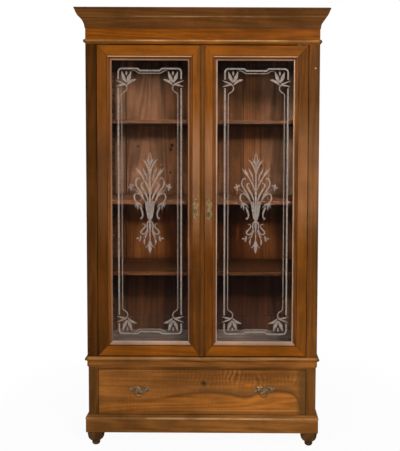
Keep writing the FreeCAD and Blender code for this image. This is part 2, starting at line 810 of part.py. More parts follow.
def pivots():
    """Pin plates on the door's ends, turning in socket plates fixed to the case."""
    plate_y = ("front_y + pivot_plate_set", "front_y + pivot_plate_set + pivot_plate_deep")
    pin_long = "(pivot_plate_thick + pivot_plate_gap)"
    pins = []
    sockets = []
    for end, door_z, case_z, pin_z in (
            ("lower", ("door_low - pivot_plate_thick", "door_low"),
             ("waist_high", "waist_high + pivot_plate_thick"), "waist_high"),
            ("upper", ("door_high", "door_high + pivot_plate_thick"),
             ("frieze_low - pivot_plate_thick", "frieze_low"),
             "door_high + pivot_plate_thick")):
        plate = block(f"{end}_pin_plate", ("-door_edge", "-door_edge + pivot_plate_long"),
                      plate_y, door_z)
        pin = rod(f"{end}_pin", "pivot_radius", pin_long, "-pivot_x", "pivot_y", pin_z)
        pins.append(fuse(f"{end}_pivot", [plate, pin]))
        socket = block(f"{end}_socket_plate", ("-open_half", "-open_half + pivot_plate_long"),
                       plate_y, case_z)
        hole = rod(f"{end}_socket_hole", "pivot_radius + pivot_fit",
                   "pivot_plate_thick + 2 * overrun", "-pivot_x", "pivot_y",
                   f"{case_z[0]} - overrun")
        sockets.append(cut(f"{end}_left_socket", socket, [hole]))
    keep("left_door_pivots", group("left_door_pivots", pins))
    others = [mirror(f"right_socket_{number}", one) for number, one in enumerate(sockets)]
    keep("pivot_sockets", group("pivot_sockets", sockets + others))


def lock_and_key():
    """Escutcheons, and the right door's lock with its bolt, key and keeper."""
    plate = shaped_plate("right_escutcheon_plate", ESCUTCHEON_SHARES, "escutcheon_wide",
                         "escutcheon_tall", "escutcheon_thick")
    place(plate, "keyhole_x", "front_y", "escutcheon_z")
    left_plate = mirror("left_escutcheon_plate", plate)
    neck = rod("boss_neck", "boss_neck_radius", "boss_out", "-keyhole_x", "front_y",
               "escutcheon_z", along="y")
    ball = doc.addObject("Part::Sphere", "boss_ball")
    bind(ball, Radius="boss_radius")
    place(ball, "-keyhole_x", "front_y - boss_out", "escutcheon_z")
    keep("left_door_escutcheon", fuse("left_door_escutcheon", [left_plate, neck, ball]))
    keyway = rod("keyway", "key_radius + key_fit", "door_thick + lock_thick + 2 * overrun",
                 "keyhole_x", "door_back + lock_thick + overrun", "key_z", along="y")
    keep("right_door_escutcheon", cut("right_door_escutcheon", plate, [keyway]))
    plain_stile = mirror("right_meeting_stile_blank", pieces["left_door_meeting_stile"])
    keep("right_door_meeting_stile", cut("right_door_meeting_stile", plain_stile, [keyway]))
    case = block("lock_case", ("lock_x", "lock_x + lock_wide"),
                 ("door_back", "door_back + lock_thick"),
                 ("key_z - lock_below", "key_z + lock_above"))
    bolt_y = ("bolt_front", "bolt_front + bolt_thick")
    bolt_z = ("bolt_low", "bolt_low + bolt_tall")
    bolt_end = "lock_x + bolt_set + bolt_long"
    channel = block("bolt_channel", ("lock_x - overrun", f"{bolt_end} + bolt_gap"),
                    ("bolt_front - bolt_gap", "bolt_front + bolt_thick + bolt_gap"),
                    ("bolt_low - bolt_gap", "bolt_low + bolt_tall + bolt_gap"))
    keep("door_lock", cut("door_lock", case, [keyway, channel]))
    keep("lock_bolt", block("lock_bolt", ("lock_x + bolt_set", bolt_end), bolt_y, bolt_z))
    keeper_end = "door_meet - meeting_gap - keeper_set"
    keeper = block("keeper_block", (f"{keeper_end} - keeper_wide", keeper_end),
                   ("door_back", "door_back + lock_thick"),
                   ("bolt_low - keeper_rim", "bolt_low + bolt_tall + keeper_rim"))
    mortise = block("keeper_mortise", (f"{keeper_end} - bolt_throw", f"{keeper_end} + overrun"),
                    ("bolt_front - mortise_gap", "bolt_front + bolt_thick + mortise_gap"),
                    ("bolt_low - mortise_gap", "bolt_low + bolt_tall + mortise_gap"))
    keep("left_door_keeper", cut("left_door_keeper", keeper, [mortise]))
    shaft = rod("key_shaft", "key_radius", "key_out + key_in", "keyhole_x", "front_y + key_in",
                "key_z", along="y")
    collar = rod("key_collar", "key_collar_radius", "key_collar_thick", "keyhole_x",
                 "front_y - escutcheon_thick - key_collar_gap", "key_z", along="y")
    bow = doc.addObject("Part::Torus", "key_bow")
    bind(bow, Radius1="key_bow_radius", Radius2="key_bow_wire")
    place(bow, "keyhole_x", "front_y - key_out - key_bow_radius", "key_z",
          turn=(Vector(0, 1, 0), 90))
    keep("door_key", fuse("door_key", [shaft, collar, bow]))


def right_door():
    """The rest of the right door is the left one seen in a mirror."""
    for name in ("hinge_stile", "top_rail", "bottom_rail", "glazing", "back_beads", "glass",
                 "pivots"):
        keep("right_door_" + name, mirror("right_door_" + name, pieces["left_door_" + name]))


# Drawer

def drawer_box():
    bottom = keep("drawer_bottom", block(
        "drawer_bottom", ("-drawer_side_in - drawer_groove", "drawer_side_in + drawer_groove"),
        ("drawer_front_back - drawer_groove", "drawer_end"),
        ("drawer_floor_low", "drawer_floor_high")))
    front = block("drawer_front_board", ("-drawer_half", "drawer_half"),
                  ("base_front", "drawer_front_back"), ("drawer_low", "drawer_high"))
    keyway = rod("drawer_keyway", "drawer_key_radius",
                 "drawer_front_thick + drawer_lock_thick + 2 * overrun", "drawer_key_x",
                 "drawer_front_back + drawer_lock_thick + overrun", "drawer_key_z", along="y")
    keep("drawer_front", cut("drawer_front", front, [bottom, keyway]))
    side = block("drawer_left_board", ("-drawer_side_out", "-drawer_side_in"),
                 ("drawer_front_back", "drawer_end"),
                 ("plinth_high + drawer_run_gap", "drawer_high"))
    left = keep("drawer_left_side", cut("drawer_left_side", side, [bottom]))
    keep("drawer_right_side", mirror("drawer_right_side", left))
    keep("drawer_back", block(
        "drawer_back", ("-drawer_side_in", "drawer_side_in"),
        ("drawer_end - drawer_back_thick", "drawer_end"),
        ("drawer_floor_high", "drawer_high - drawer_back_drop")))
    ring = rod("keyhole_ring", "keyhole_ring_radius", "keyhole_ring_thick", "drawer_key_x",
               "base_front", "drawer_key_z", along="y")
    case = block("drawer_lock_case",
                 ("drawer_key_x - drawer_lock_wide / 2", "drawer_key_x + drawer_lock_wide / 2"),
                 ("drawer_front_back", "drawer_front_back + drawer_lock_thick"),
                 ("drawer_key_z - drawer_lock_below", "drawer_key_z + drawer_lock_above"))
    parts = [cut("drawer_keyhole_ring", ring, [keyway]), cut("drawer_lock_body", case, [keyway])]
    keep("drawer_lock", group("drawer_lock", parts))


def drawer_pulls():
    """Each pull is a shaped plate with two posts, and a bail that swings between them."""
    reach = "pull_post_half + bail_pin_in"
    holders = []
    for side, centre in (("left", "-pull_x"), ("right", "pull_x")):
        plate = shaped_plate(side + "_pull_plate", PULL_PLATE_SHARES, "pull_plate_wide",
                             "pull_plate_tall", "pull_plate_thick")
        place(plate, centre, "base_front", "pull_z")
        stems = [plate]
        legs = []
        for end, sign in (("near", "-"), ("far", "+")):
            stems.append(rod(f"{side}_{end}_post", "pull_post_radius", "pull_post_long",
                             f"{centre} {sign} pull_post_half", "base_front", "bail_z",
                             along="y"))
            legs.append(rod(f"{side}_{end}_leg", "bail_wire", "bail_leg",
                            f"{centre} {sign} bail_half", "bail_y", "bail_z - bail_leg"))
            knee = doc.addObject("Part::Sphere", f"{side}_{end}_knee")
            bind(knee, Radius="bail_wire")
            legs.append(place(knee, f"{centre} {sign} bail_half", "bail_y", "bail_z"))
        bore = rod(side + "_bail_bore", "bail_pin + bail_fit", f"2 * ({reach})",
                   f"{centre} - ({reach})", "bail_y", "bail_z", along="x")
        holders.append(cut(side + "_pull_holder", fuse(side + "_pull_body", stems), [bore]))
        for end, start in (("near", f"{centre} - pull_post_half"), ("far", f"{centre} + bail_half")):
            legs.append(rod(f"{side}_{end}_bail_pin", "bail_pin", "pull_post_half - bail_half",
                            start, "bail_y", "bail_z", along="x"))
        loop = doc.addObject("Part::Torus", side + "_bail_loop")
        loop.Angle3 = 180
        bind(loop, Radius1="bail_half", Radius2="bail_wire")
        place(loop, centre, "bail_y", "bail_z - bail_leg", turn=(Vector(1, 0, 0), -90))
        keep(f"drawer_{side}_bail", fuse(f"drawer_{side}_bail", legs + [loop]))
    keep("drawer_pull_plates", group("drawer_pull_plates", holders))


# Build, check and write

def build():
    turned_feet()
    plinth()
    base_carcase()
    drawer_runners()
    waist_moulding()
    case_carcase()
    back_frame()
    toothed_racks()
    shelves()
    cornice()
    door_frame()
    door_glazing()
    astragal()
    pivots()
    lock_and_key()
    right_door()
    drawer_box()
    drawer_pulls()
    doc.recompute()


def check():
    for thing in doc.Objects:
        if "Invalid" in thing.State or "Error" in thing.State:
            raise RuntimeError(f"{thing.Name} failed: {thing.State}")
    for label, piece in pieces.items():
        if piece.Shape.isNull() or not piece.Shape.isValid():
            raise RuntimeError(f"{label} has no sound shape")


def write():
    os.makedirs("parts", exist_ok=True)
    for label, piece in pieces.items():
        piece.Shape.exportStep(f"parts/{label}.step")


build()
check()
write()
print(len(pieces), "sub-parts")
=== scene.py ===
"""Looks of the walnut display cabinet: finishes, etched glass, small fittings, light and camera."""

import json
from math import cos, pi, radians, sin

import bmesh
import bpy
from mathutils import Matrix, Vector


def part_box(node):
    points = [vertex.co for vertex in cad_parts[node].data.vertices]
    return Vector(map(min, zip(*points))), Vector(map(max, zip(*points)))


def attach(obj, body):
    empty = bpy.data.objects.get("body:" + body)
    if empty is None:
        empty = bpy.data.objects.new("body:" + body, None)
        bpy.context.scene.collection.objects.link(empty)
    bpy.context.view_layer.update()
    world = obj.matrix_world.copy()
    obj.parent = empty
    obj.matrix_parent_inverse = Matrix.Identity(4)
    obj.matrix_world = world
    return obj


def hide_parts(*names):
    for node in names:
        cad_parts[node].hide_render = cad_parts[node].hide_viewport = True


MM = 0.001

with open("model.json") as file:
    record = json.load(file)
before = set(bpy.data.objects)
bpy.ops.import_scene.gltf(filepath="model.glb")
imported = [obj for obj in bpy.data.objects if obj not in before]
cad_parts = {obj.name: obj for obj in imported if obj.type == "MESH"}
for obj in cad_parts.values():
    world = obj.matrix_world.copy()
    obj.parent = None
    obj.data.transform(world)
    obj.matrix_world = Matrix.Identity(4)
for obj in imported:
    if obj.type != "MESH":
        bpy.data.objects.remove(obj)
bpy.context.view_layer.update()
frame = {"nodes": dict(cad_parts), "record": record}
NODES = frame["nodes"]
BODIES = frame["record"]["behaviour"]["bodies"]
BODY_OF = {node: body for body, members in BODIES.items() for node in members}
DOORS = ("left_door", "right_door")

# Places on the solids, in metres, that finishes and ornament go by
PANE_LOW, PANE_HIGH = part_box("right_door_glass")
PANE_MIDDLE = (PANE_LOW + PANE_HIGH) / 2
PANE_HALF = (PANE_HIGH - PANE_LOW) / 2
CASE_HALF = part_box("case_right_side")[1].x
CASE_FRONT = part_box("case_front_posts")[0].y
BACK_MIDDLE = sum(part.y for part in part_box("back_panels")) / 2
BACK_RAIL_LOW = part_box("case_floor")[0].z + 100 * MM
BACK_RAIL_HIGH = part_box("case_head")[1].z - 100 * MM
PLINTH_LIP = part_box("plinth_boards")[0].z + 73.5 * MM
WAIST_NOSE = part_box("waist_moulding")[0].z + 51 * MM
BEAD_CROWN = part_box("frieze_bead")[1].z - 7 * MM
CROWN_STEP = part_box("crown_moulding")[0].z + 52 * MM


def paint(red, green, blue):
    """A colour as a painter reads it off a screen, 0 to 255, made linear for the shaders."""
    linear = []
    for part in (red, green, blue):
        share = part / 255
        linear.append(share / 12.92 if share < 0.04045 else ((share + 0.055) / 1.055) ** 2.4)
    return (*linear, 1.0)


class Sheet:
    """A node tree with short ways to place nodes and join them."""

    def __init__(self, tree):
        self.tree = tree

    def feed(self, socket, value):
        if hasattr(value, "is_output"):
            self.tree.links.new(value, socket)
        elif value is not None:
            socket.default_value = value

    def fill(self, node, given):
        """Gives a node's sockets, by name or number, their values or links."""
        for name, value in dict(given).items():
            self.feed(node.inputs[name], value)

    def node(self, kind, given=(), **settings):
        made = self.tree.nodes.new(kind)
        for name, value in settings.items():
            setattr(made, name, value)
        self.fill(made, given)
        return made

    def math(self, operation, first, second=None, clamp=False):
        made = self.node("ShaderNodeMath", {0: first, 1: second}, operation=operation, use_clamp=clamp)
        return made.outputs[0]

    def plus(self, first, second, clamp=False):
        return self.math("ADD", first, second, clamp)

    def less(self, first, second):
        return self.math("SUBTRACT", first, second)

    def times(self, first, second):
        return self.math("MULTIPLY", first, second)

    def over(self, value, limit):
        """1 where a value is over its limit, 0 elsewhere."""
        return self.math("GREATER_THAN", value, limit)

    def off(self, value, middle=0.0):
        """How far a value lies from a middle, to either side."""
        return self.math("ABSOLUTE", self.less(value, middle))

    def between(self, value, low, high, to_low=0.0, to_high=1.0, smooth=True):
        """Runs from to_low to to_high while the value runs from low to high."""
        made = self.node("ShaderNodeMapRange", enumerate((value, low, high, to_low, to_high)),
                         interpolation_type="SMOOTHSTEP" if smooth else "LINEAR")
        return made.outputs[0]

    def band(self, value, middle, near, far, strength):
        """Full strength within near of a middle, nothing beyond far."""
        return self.between(self.off(value, middle), near, far, strength, 0.0)

    def vector(self, x=None, y=None, z=None):
        return self.node("ShaderNodeCombineXYZ", {0: x, 1: y, 2: z}).outputs[0]

    def parts(self, vector):
        return self.node("ShaderNodeSeparateXYZ", {0: vector}).outputs

    def length(self, vector):
        return self.node("ShaderNodeVectorMath", {0: vector}, operation="LENGTH").outputs["Value"]

    def spot(self, x, z, centre, near, far, strength, squeeze=1.0):
        """Full strength within near of a spot on the front, nothing beyond far; all in mm."""
        across = self.times(self.less(x, centre[0] * MM), squeeze)
        away = self.length(self.vector(across, z=self.less(z, centre[1] * MM)))
        return self.between(away, near * MM, far * MM, strength, 0.0)

    def noise(self, vector, scale, detail, rough, twist=0.0):
        given = {"Vector": vector, "Scale": scale, "Detail": detail, "Roughness": rough, "Distortion": twist}
        return self.node("ShaderNodeTexNoise", given).outputs["Fac"]

    def mixed(self, share, first, second, blend="MIX"):
        made = self.node("ShaderNodeMix", {0: share, 6: first, 7: second}, data_type="RGBA", blend_type=blend)
        return made.outputs[2]

    def tinted(self, colour, tint, share=1.0):
        """The colour multiplied by a tint or a value, as far as share says."""
        return self.mixed(share, colour, tint, "MULTIPLY")

    def painted(self, colour, *coats):
        """The colour under coats of paint, each with how much of it shows and its red, green and blue."""
        for share, tone in coats:
            colour = self.mixed(share, colour, paint(*tone))
        return colour

    def tight_corners(self, reach, low, most):
        """Most in tight corners, nothing on open faces."""
        near = self.node("ShaderNodeAmbientOcclusion", {"Distance": reach}, samples=6)
        return self.between(near.outputs["AO"], low, 0.95, most, 0.0)

    def group(self, tree, **given):
        named = {name.replace("_", " "): value for name, value in given.items()}
        return self.node("ShaderNodeGroup", named, node_tree=tree).outputs

    def surface(self, share, first, second):
        """Makes the second shader the material's surface where share is 1, and the first elsewhere."""
        chosen = self.node("ShaderNodeMixShader", {0: share, 1: first.outputs[0], 2: second.outputs[0]})
        self.feed(self.tree.nodes["Material Output"].inputs["Surface"], chosen.outputs[0])


def new_group(name, colours, values, gives):
    """A shader group that takes a Vector, colours and values, and gives values and perhaps a Color."""
    tree = bpy.data.node_groups.new(name, "ShaderNodeTree")
    tree.interface.new_socket("Vector", in_out="INPUT", socket_type="NodeSocketVector")
    for label in colours.split():
        tree.interface.new_socket(label, in_out="INPUT", socket_type="NodeSocketColor")
    for label, usual in values.items():
        socket = tree.interface.new_socket(label, in_out="INPUT", socket_type="NodeSocketFloat")
        socket.default_value = usual
    for label in gives.split():
        kind = "NodeSocketColor" if label == "Color" else "NodeSocketFloat"
        tree.interface.new_socket(label, in_out="OUTPUT", socket_type=kind)
    return tree, Sheet(tree), tree.nodes.new("NodeGroupInput").outputs, tree.nodes.new("NodeGroupOutput")


def make_grain():
    """Walnut or pine figure: broad streaks, growth lines, fibres and short pores along the board."""
    tree, sheet, given, gives = new_group(
        "wood grain", "Dark Middle Light", {"Lines": 0.35, "Pores": 0.5}, "Color Roughness Height")
    vector = given["Vector"]
    warp = sheet.noise(vector, 5.0, 2.0, 0.5)
    cloud = sheet.noise(vector, 14.0, 5.0, 0.62, 0.5)
    streak = sheet.noise(vector, 85.0, 6.0, 0.66, 0.3)
    lines = sheet.between(sheet.math("PINGPONG", sheet.times(warp, 19.0), 0.5), 0.05, 0.5)
    fibre = sheet.noise(vector, 260.0, 4.0, 0.7)
    pore = sheet.between(sheet.noise(vector, 620.0, 1.0, 0.4), 0.60, 0.72)
    tone = sheet.plus(sheet.times(cloud, 0.62), sheet.times(streak, 0.46))
    swing = sheet.times(sheet.less(lines, 0.5), given["Lines"])
    tone = sheet.plus(tone, sheet.times(swing, 0.42))
    tone = sheet.plus(tone, sheet.times(sheet.less(fibre, 0.5), 0.16))
    colour = sheet.mixed(sheet.between(tone, 0.28, 0.60, smooth=False), given["Dark"], given["Middle"])
    colour = sheet.mixed(sheet.between(tone, 0.50, 0.82, smooth=False), colour, given["Light"])
    filled = sheet.times(sheet.times(pore, given["Pores"]), 0.6)
    sheet.fill(gives, {
        "Color": sheet.mixed(filled, colour, given["Dark"]),
        "Roughness": sheet.between(sheet.plus(fibre, pore), 0.3, 1.4, smooth=False),
        "Height": sheet.less(sheet.times(fibre, 0.4), pore)})
    return tree


def make_polish_and_corner_shade():
    """Cloudy darkening, painted shade in tight corners, and paler rubbed patches."""
    tree, sheet, given, gives = new_group("old polish and painted corner shade", "Color", {"Grime": 0.6, "Rubbed": 0.3},
                                          "Color Roughness")
    cloud = sheet.noise(given["Vector"], 3.2, 4.0, 0.6)
    colour = sheet.tinted(given["Color"], sheet.between(cloud, 0.35, 0.62, 0.72, 1.08))
    shaded_corners = sheet.times(sheet.tight_corners(20 * MM, 0.25, 1.0), given["Grime"])
    # Painted shade: dark brown laid into tight corners, as far as ambient occlusion finds them
    colour = sheet.painted(colour, (shaded_corners, (30, 17, 8)))
    spots = sheet.between(sheet.noise(given["Vector"], 23.0, 5.0, 0.7), 0.60, 0.74)
    rub = sheet.times(spots, given["Rubbed"])
    sheet.fill(gives, {
        "Color": sheet.tinted(colour, (1.75, 1.65, 1.5, 1.0), rub),
        "Roughness": sheet.plus(sheet.times(cloud, 0.5), sheet.times(rub, 0.5))})
    return tree


def make_tarnish():
    """Brown tarnish in patches and corners, brighter where the metal is touched."""
    tree, sheet, given, gives = new_group("tarnish", "Bright Dull", {"Amount": 0.5}, "Color Roughness Height")
    cloud = sheet.noise(given["Vector"], 60.0, 6.0, 0.68)
    share = sheet.plus(sheet.between(cloud, 0.36, 0.66), sheet.tight_corners(3 * MM, 0.3, 0.5))
    share = sheet.plus(share, sheet.less(given["Amount"], 0.5), clamp=True)
    sheet.fill(gives, {
        "Color": sheet.mixed(share, given["Bright"], given["Dull"]),
        "Roughness": sheet.between(share, 0.0, 1.0, 0.28, 0.62, False),
        "Height": sheet.noise(given["Vector"], 700.0, 3.0, 0.6)})
    return tree


# Heights, in metres, between which the painted light and shade on the woods changes; the topmost change,
# a painted shadow, comes lower from left to right, by up to the last number
FOOT_TO_MIDDLE = (0.75, 1.2)
MIDDLE_TO_HEAD = (1.3, 1.75)
HEAD_TO_TOP = (1.82, 1.96)
TOP_LOWERED = (-0.05, 0.2, 0.0, 0.13)
# The middle of the painted pale sheen on the woods, and how far its core and its edge reach up and down
SHEEN_REACH = (1.38, 0.12, 0.4)
# Where a wood's left shade passes into its right one
LEFT_TO_RIGHT = (-0.1, 0.1)


def make_shade():
    """Painted light and shade on a wood towards its foot, middle, head, top and right, and a painted pale
    sheen.
    """
    tree, sheet, given, gives = new_group(
        "painted light and shade by place", "Color",
        {"Low": 1.0, "Middle": 1.0, "High": 1.0, "Right": 1.0, "Top": 1.0, "Bloom": 0.0, "Bloom left": 1.0},
        "Color")
    x, y, z = sheet.parts(given["Vector"])
    share = sheet.between(z, *FOOT_TO_MIDDLE, given["Low"], given["Middle"])
    head = sheet.math("DIVIDE", given["High"], given["Middle"])
    share = sheet.times(share, sheet.between(z, *MIDDLE_TO_HEAD, 1.0, head))
    raised = sheet.plus(z, sheet.between(x, *TOP_LOWERED))
    share = sheet.times(share, sheet.between(raised, *HEAD_TO_TOP, 1.0, given["Top"]))
    share = sheet.times(share, sheet.between(x, *LEFT_TO_RIGHT, 1.0, given["Right"]))
    bloom_and_sheen = sheet.band(z, *SHEEN_REACH, given["Bloom"])
    bloom_and_sheen = sheet.times(bloom_and_sheen, sheet.between(x, *LEFT_TO_RIGHT, given["Bloom left"], 1.0))
    colour = sheet.tinted(given["Color"], share)
    # A pale pink painted sheen is mixed in at mid height
    sheet.fill(gives, {"Color": sheet.painted(colour, (bloom_and_sheen, (178, 138, 106)))})
    return tree


# A moulding's painted highlight is strongest round this place across, and weaker beyond; where the painted
# shade on front corners lies, across from the case's side and back from its front; in metres
HIGHLIGHT_ACROSS = (0.05, 0.15, 0.58)
CORNER_ACROSS = (CASE_HALF - 12 * MM, CASE_HALF + 8 * MM)
CORNER_BACK = (CASE_FRONT + 10 * MM, CASE_FRONT + 60 * MM)


def make_highlight_band():
    """A painted highlight along a moulding, strongest near its middle, and perhaps painted shade at front
    corners.
    """
    tree, sheet, given, gives = new_group(
        "painted highlight band", "Color", {"Height": 0.0, "Half": 0.005, "Strength": 0.5, "Dark ends": 0.0}, "Color")
    x, y, z = sheet.parts(given["Vector"])
    patches = sheet.between(sheet.noise(given["Vector"], 8.0, 5.0, 0.62), 0.34, 0.62, 0.35, 1.0)
    middle, near, far = HIGHLIGHT_ACROSS
    patches = sheet.times(patches, sheet.between(sheet.off(x, middle), near, far, 1.0, 0.45))
    half = given["Half"]
    band = sheet.band(z, given["Height"], sheet.times(half, 0.3), half, given["Strength"])
    end = sheet.between(sheet.off(x), *CORNER_ACROSS, 0.0, given["Dark ends"])
    end = sheet.times(end, sheet.between(y, *CORNER_BACK, 1.0, 0.0))
    # The pale band is a painted highlight; the dark ends are painted shade
    colour = sheet.painted(given["Color"], (sheet.times(band, patches), (204, 160, 112)), (end, (40, 25, 13)))
    sheet.fill(gives, {"Color": colour})
    return tree


def make_side_runs():
    """1 on the side runs of a mitred moulding, 0 on its front run."""
    tree, sheet, given, gives = new_group("side runs", "", {}, "Turned")
    x, y, z = sheet.parts(given["Vector"])
    beyond = sheet.less(sheet.off(x), CASE_HALF)
    sheet.fill(gives, {"Turned": sheet.over(beyond, sheet.less(CASE_FRONT, y))})
    return tree


def make_pane_edge():
    """1 on the upright lengths round a pane, 0 on the level ones, and how far in from the pane's edge."""
    tree, sheet, given, gives = new_group("round the pane", "", {}, "Turned Inward")
    x, y, z = sheet.parts(given["Vector"])
    across = sheet.less(sheet.off(sheet.off(x), PANE_MIDDLE.x), PANE_HALF.x)
    up = sheet.less(sheet.off(z, PANE_MIDDLE.z), PANE_HALF.z)
    inward = sheet.times(sheet.math("MAXIMUM", across, up), -1.0)
    sheet.fill(gives, {"Turned": sheet.over(across, up), "Inward": inward})
    return tree


GRAIN = make_grain()
POLISH_AND_CORNER_SHADE = make_polish_and_corner_shade()
TARNISH = make_tarnish()
SHADE = make_shade()
HIGHLIGHT_BAND = make_highlight_band()
SIDE_RUNS = make_side_runs()
PANE_EDGE = make_pane_edge()

# How the grain's pattern is drawn out along each way a board can run
ALONG = {"x": (0.07, 1.0, 1.0), "y": (1.0, 0.07, 1.0), "z": (1.0, 1.0, 0.07)}


def new_material(name):
    material = bpy.data.materials.new(name)
    material.use_nodes = True
    sheet = Sheet(material.node_tree)
    where = sheet.node("ShaderNodeTexCoord").outputs["Object"]
    return material, sheet, material.node_tree.nodes["Principled BSDF"], where


def bump(sheet, shader, height, depth, strength=0.5):
    made = sheet.node("ShaderNodeBump", {"Strength": strength, "Distance": depth, "Height": height})
    sheet.feed(shader.inputs["Normal"], made.outputs[0])


def grain(sheet, where, along, tone, contrast=0.3, lines=0.35, pores=0.5, start=(0.0, 0.0, 0.0)):
    """The grain in a wood's dark, middle and light paints, made from its middle tone."""
    dark, middle, light = [paint(*(part * share for part in tone))
                           for share in (1 - contrast, 1.0, 1 + 0.75 * contrast)]
    board = sheet.node("ShaderNodeMapping", {"Vector": where, "Scale": ALONG[along], "Location": start})
    return sheet.group(GRAIN, Vector=board.outputs[0], Dark=dark, Middle=middle, Light=light, Lines=lines,
                       Pores=pores)


def polish(sheet, shader, where, colour, roughness, height, gloss=0.42, grime=0.55, rubbed=0.25, mirror=0.03):
    """Feeds one wood's colour, shine and pores to its shader, through the old polish."""
    aged = sheet.group(POLISH_AND_CORNER_SHADE, Vector=where, Color=colour, Grime=grime, Rubbed=rubbed)
    shine = sheet.plus(sheet.times(roughness, 0.16), sheet.times(aged["Roughness"], 0.22))
    sheet.fill(shader, {"Base Color": aged["Color"], "Roughness": sheet.plus(shine, gloss, clamp=True),
                        "Specular IOR Level": mirror})
    bump(sheet, shader, height, 0.25 * MM)


def wood(name, along, tone, contrast=0.3, lines=0.35, pores=0.5, start=(0.0, 0.0, 0.0), toned=None, **finish):
    """One wood; toned, where given, shades its colour by place."""
    material, sheet, shader, where = new_material(name)
    figure = grain(sheet, where, along, tone, contrast, lines, pores, start)
    colour = toned(sheet, where, figure["Color"]) if toned else figure["Color"]
    polish(sheet, shader, where, colour, figure["Roughness"], figure["Height"], **finish)
    return material


def two_way_wood(name, other, chooser, tone, contrast=0.25, lines=0.3, toned=None, **finish):
    """A wood whose boards run level along x, and the other way where the chooser says Turned."""
    material, sheet, shader, where = new_material(name)
    turned = sheet.group(chooser, Vector=where)["Turned"]
    one, two = [grain(sheet, where, along, tone, contrast, lines) for along in ("x", other)]
    colour = sheet.mixed(turned, one["Color"], two["Color"])
    if toned:
        colour = toned(sheet, where, colour)
    height = sheet.mixed(turned, one["Height"], two["Height"])
    polish(sheet, shader, where, colour, one["Roughness"], height, **finish)
    return material


def by_place(**shades):
    """Paints light and shade into a wood's colour by place, with the group's own values."""
    return lambda sheet, where, colour: sheet.group(SHADE, Vector=where, Color=colour, **shades)["Color"]


def highlight_at(height, half, strength, shaded_ends=0.0):
    """Paints a highlight along one height of a moulding; half the band's height is in mm."""
    return lambda sheet, where, colour: sheet.group(
        HIGHLIGHT_BAND, Vector=where, Color=colour, Height=height, Half=half * MM, Strength=strength,
        Dark_ends=shaded_ends)["Color"]


def lit_tops(sheet, where, colour):
    """Painted light: boards paler where they face up."""
    facing = sheet.parts(sheet.node("ShaderNodeNewGeometry").outputs["Normal"])
    return sheet.tinted(colour, (2.05, 2.05, 2.05, 1.0), sheet.between(facing[2], 0.6, 0.9))


# A pale spot on the right front post, across and up in mm
PALE_SPOT = (560, 1923)


def post_light_and_spot(sheet, where, colour):
    """Painted light, shade and sheen on the posts, lighter on the right; a pale spot on the right front post.
    """
    x, y, z = sheet.parts(where)
    shading = by_place(Low=0.8, Middle=0.72, High=0.58, Right=2.0, Bloom=0.12, Bloom_left=0.0)
    return sheet.painted(shading(sheet, where, colour), (sheet.spot(x, z, PALE_SPOT, 2, 5, 0.8), (214, 168, 124)))


# Knots in the back boards (across, up and size), the joint between two boards, and where the stiles
# meet the panels, in mm
KNOTS = ((-388, 1531, 9), (-194, 1537, 15), (-201, 1514, 13), (-204, 1383, 10), (310, 1420, 9),
         (-330, 1090, 10))
BOARD_JOINT = 209
STILE_EDGE = 453
# How much redder and darker the back is made in the middle, lower down and lowest
MIDDLE_DARKER = (0.58, 0.45, 0.30, 1.0)
LOWER_DARKER = (0.60, 0.40, 0.18, 1.0)
LOWEST_DARKER = (0.66, 0.66, 0.66, 1.0)
# Where, in metres: a darkening's middle across and how far its core and its edge reach, or the heights
# it fades between
MIDDLE_ACROSS = (0.06, 0.20, 0.34)
LOWER_UP = (1.14, 1.30)
LOWEST_ACROSS = (-0.02, 0.28, 0.40)
LOWEST_UP = (0.86, 0.94)
BESIDE_ACROSS = (0.17, 0.06, 0.14)


def knotted(sheet, x, z, colour):
    """Dark knots in the back's boards, the dark joint between two of them, and one darker board."""
    for across, up, size in KNOTS:
        knot = sheet.spot(x, z, (across, up), 0.35 * size, size, 0.85, 1.3)
        colour = sheet.painted(colour, (knot, (34, 19, 12)))
    half = BOARD_JOINT / 2
    joint = sheet.band(x, BOARD_JOINT * MM, 0.8 * MM, 3.2 * MM, 0.75)
    board = sheet.band(x, half * MM, (half - 4) * MM, half * MM, 0.25)
    return sheet.painted(colour, (joint, (30, 17, 11)), (board, (30, 18, 10)))


def back_boards(sheet, where, raw):
    """The back's boards and paler stiles, darker mid and low, with painted light and shade, plain on their
    rear face.
    """
    x, y, z = sheet.parts(where)
    colour = knotted(sheet, x, z, raw)
    out = sheet.less(sheet.off(x), STILE_EDGE * MM)
    stile = sheet.times(sheet.between(out, 0.0, 1 * MM), sheet.between(x, *LEFT_TO_RIGHT, 0.15, 0.9))
    lower = sheet.between(z, *LOWER_UP, 1.0, 0.0)
    lowest = sheet.times(sheet.band(x, *LOWEST_ACROSS, 1.0), sheet.between(z, *LOWEST_UP, 1.0, 0.0))
    beside = sheet.times(sheet.band(x, *BESIDE_ACROSS, 0.8), lower)
    for tint, share in (((1.9, 2.3, 2.7, 1.0), stile),
                        (MIDDLE_DARKER, sheet.band(x, *MIDDLE_ACROSS, 1.0)),
                        (LOWER_DARKER, lower),
                        (LOWEST_DARKER, sheet.math("MAXIMUM", lowest, beside))):
        colour = sheet.tinted(colour, tint, share)
    within = sheet.times(sheet.over(z, BACK_RAIL_LOW), sheet.over(BACK_RAIL_HIGH, z))
    crack = sheet.times(sheet.band(out, 0.0, 0.8 * MM, 3 * MM, 0.85), within)
    colour = sheet.painted(colour, (crack, (28, 16, 11)))
    # Painted light and shade by height, and a painted shadow along the top of the back
    colour = by_place(Low=1.16, Middle=1.52, High=1.34, Top=0.35)(sheet, where, colour)
    return sheet.mixed(sheet.over(y, BACK_MIDDLE), colour, sheet.tinted(raw, (1.15, 1.1, 1.05, 1.0)))


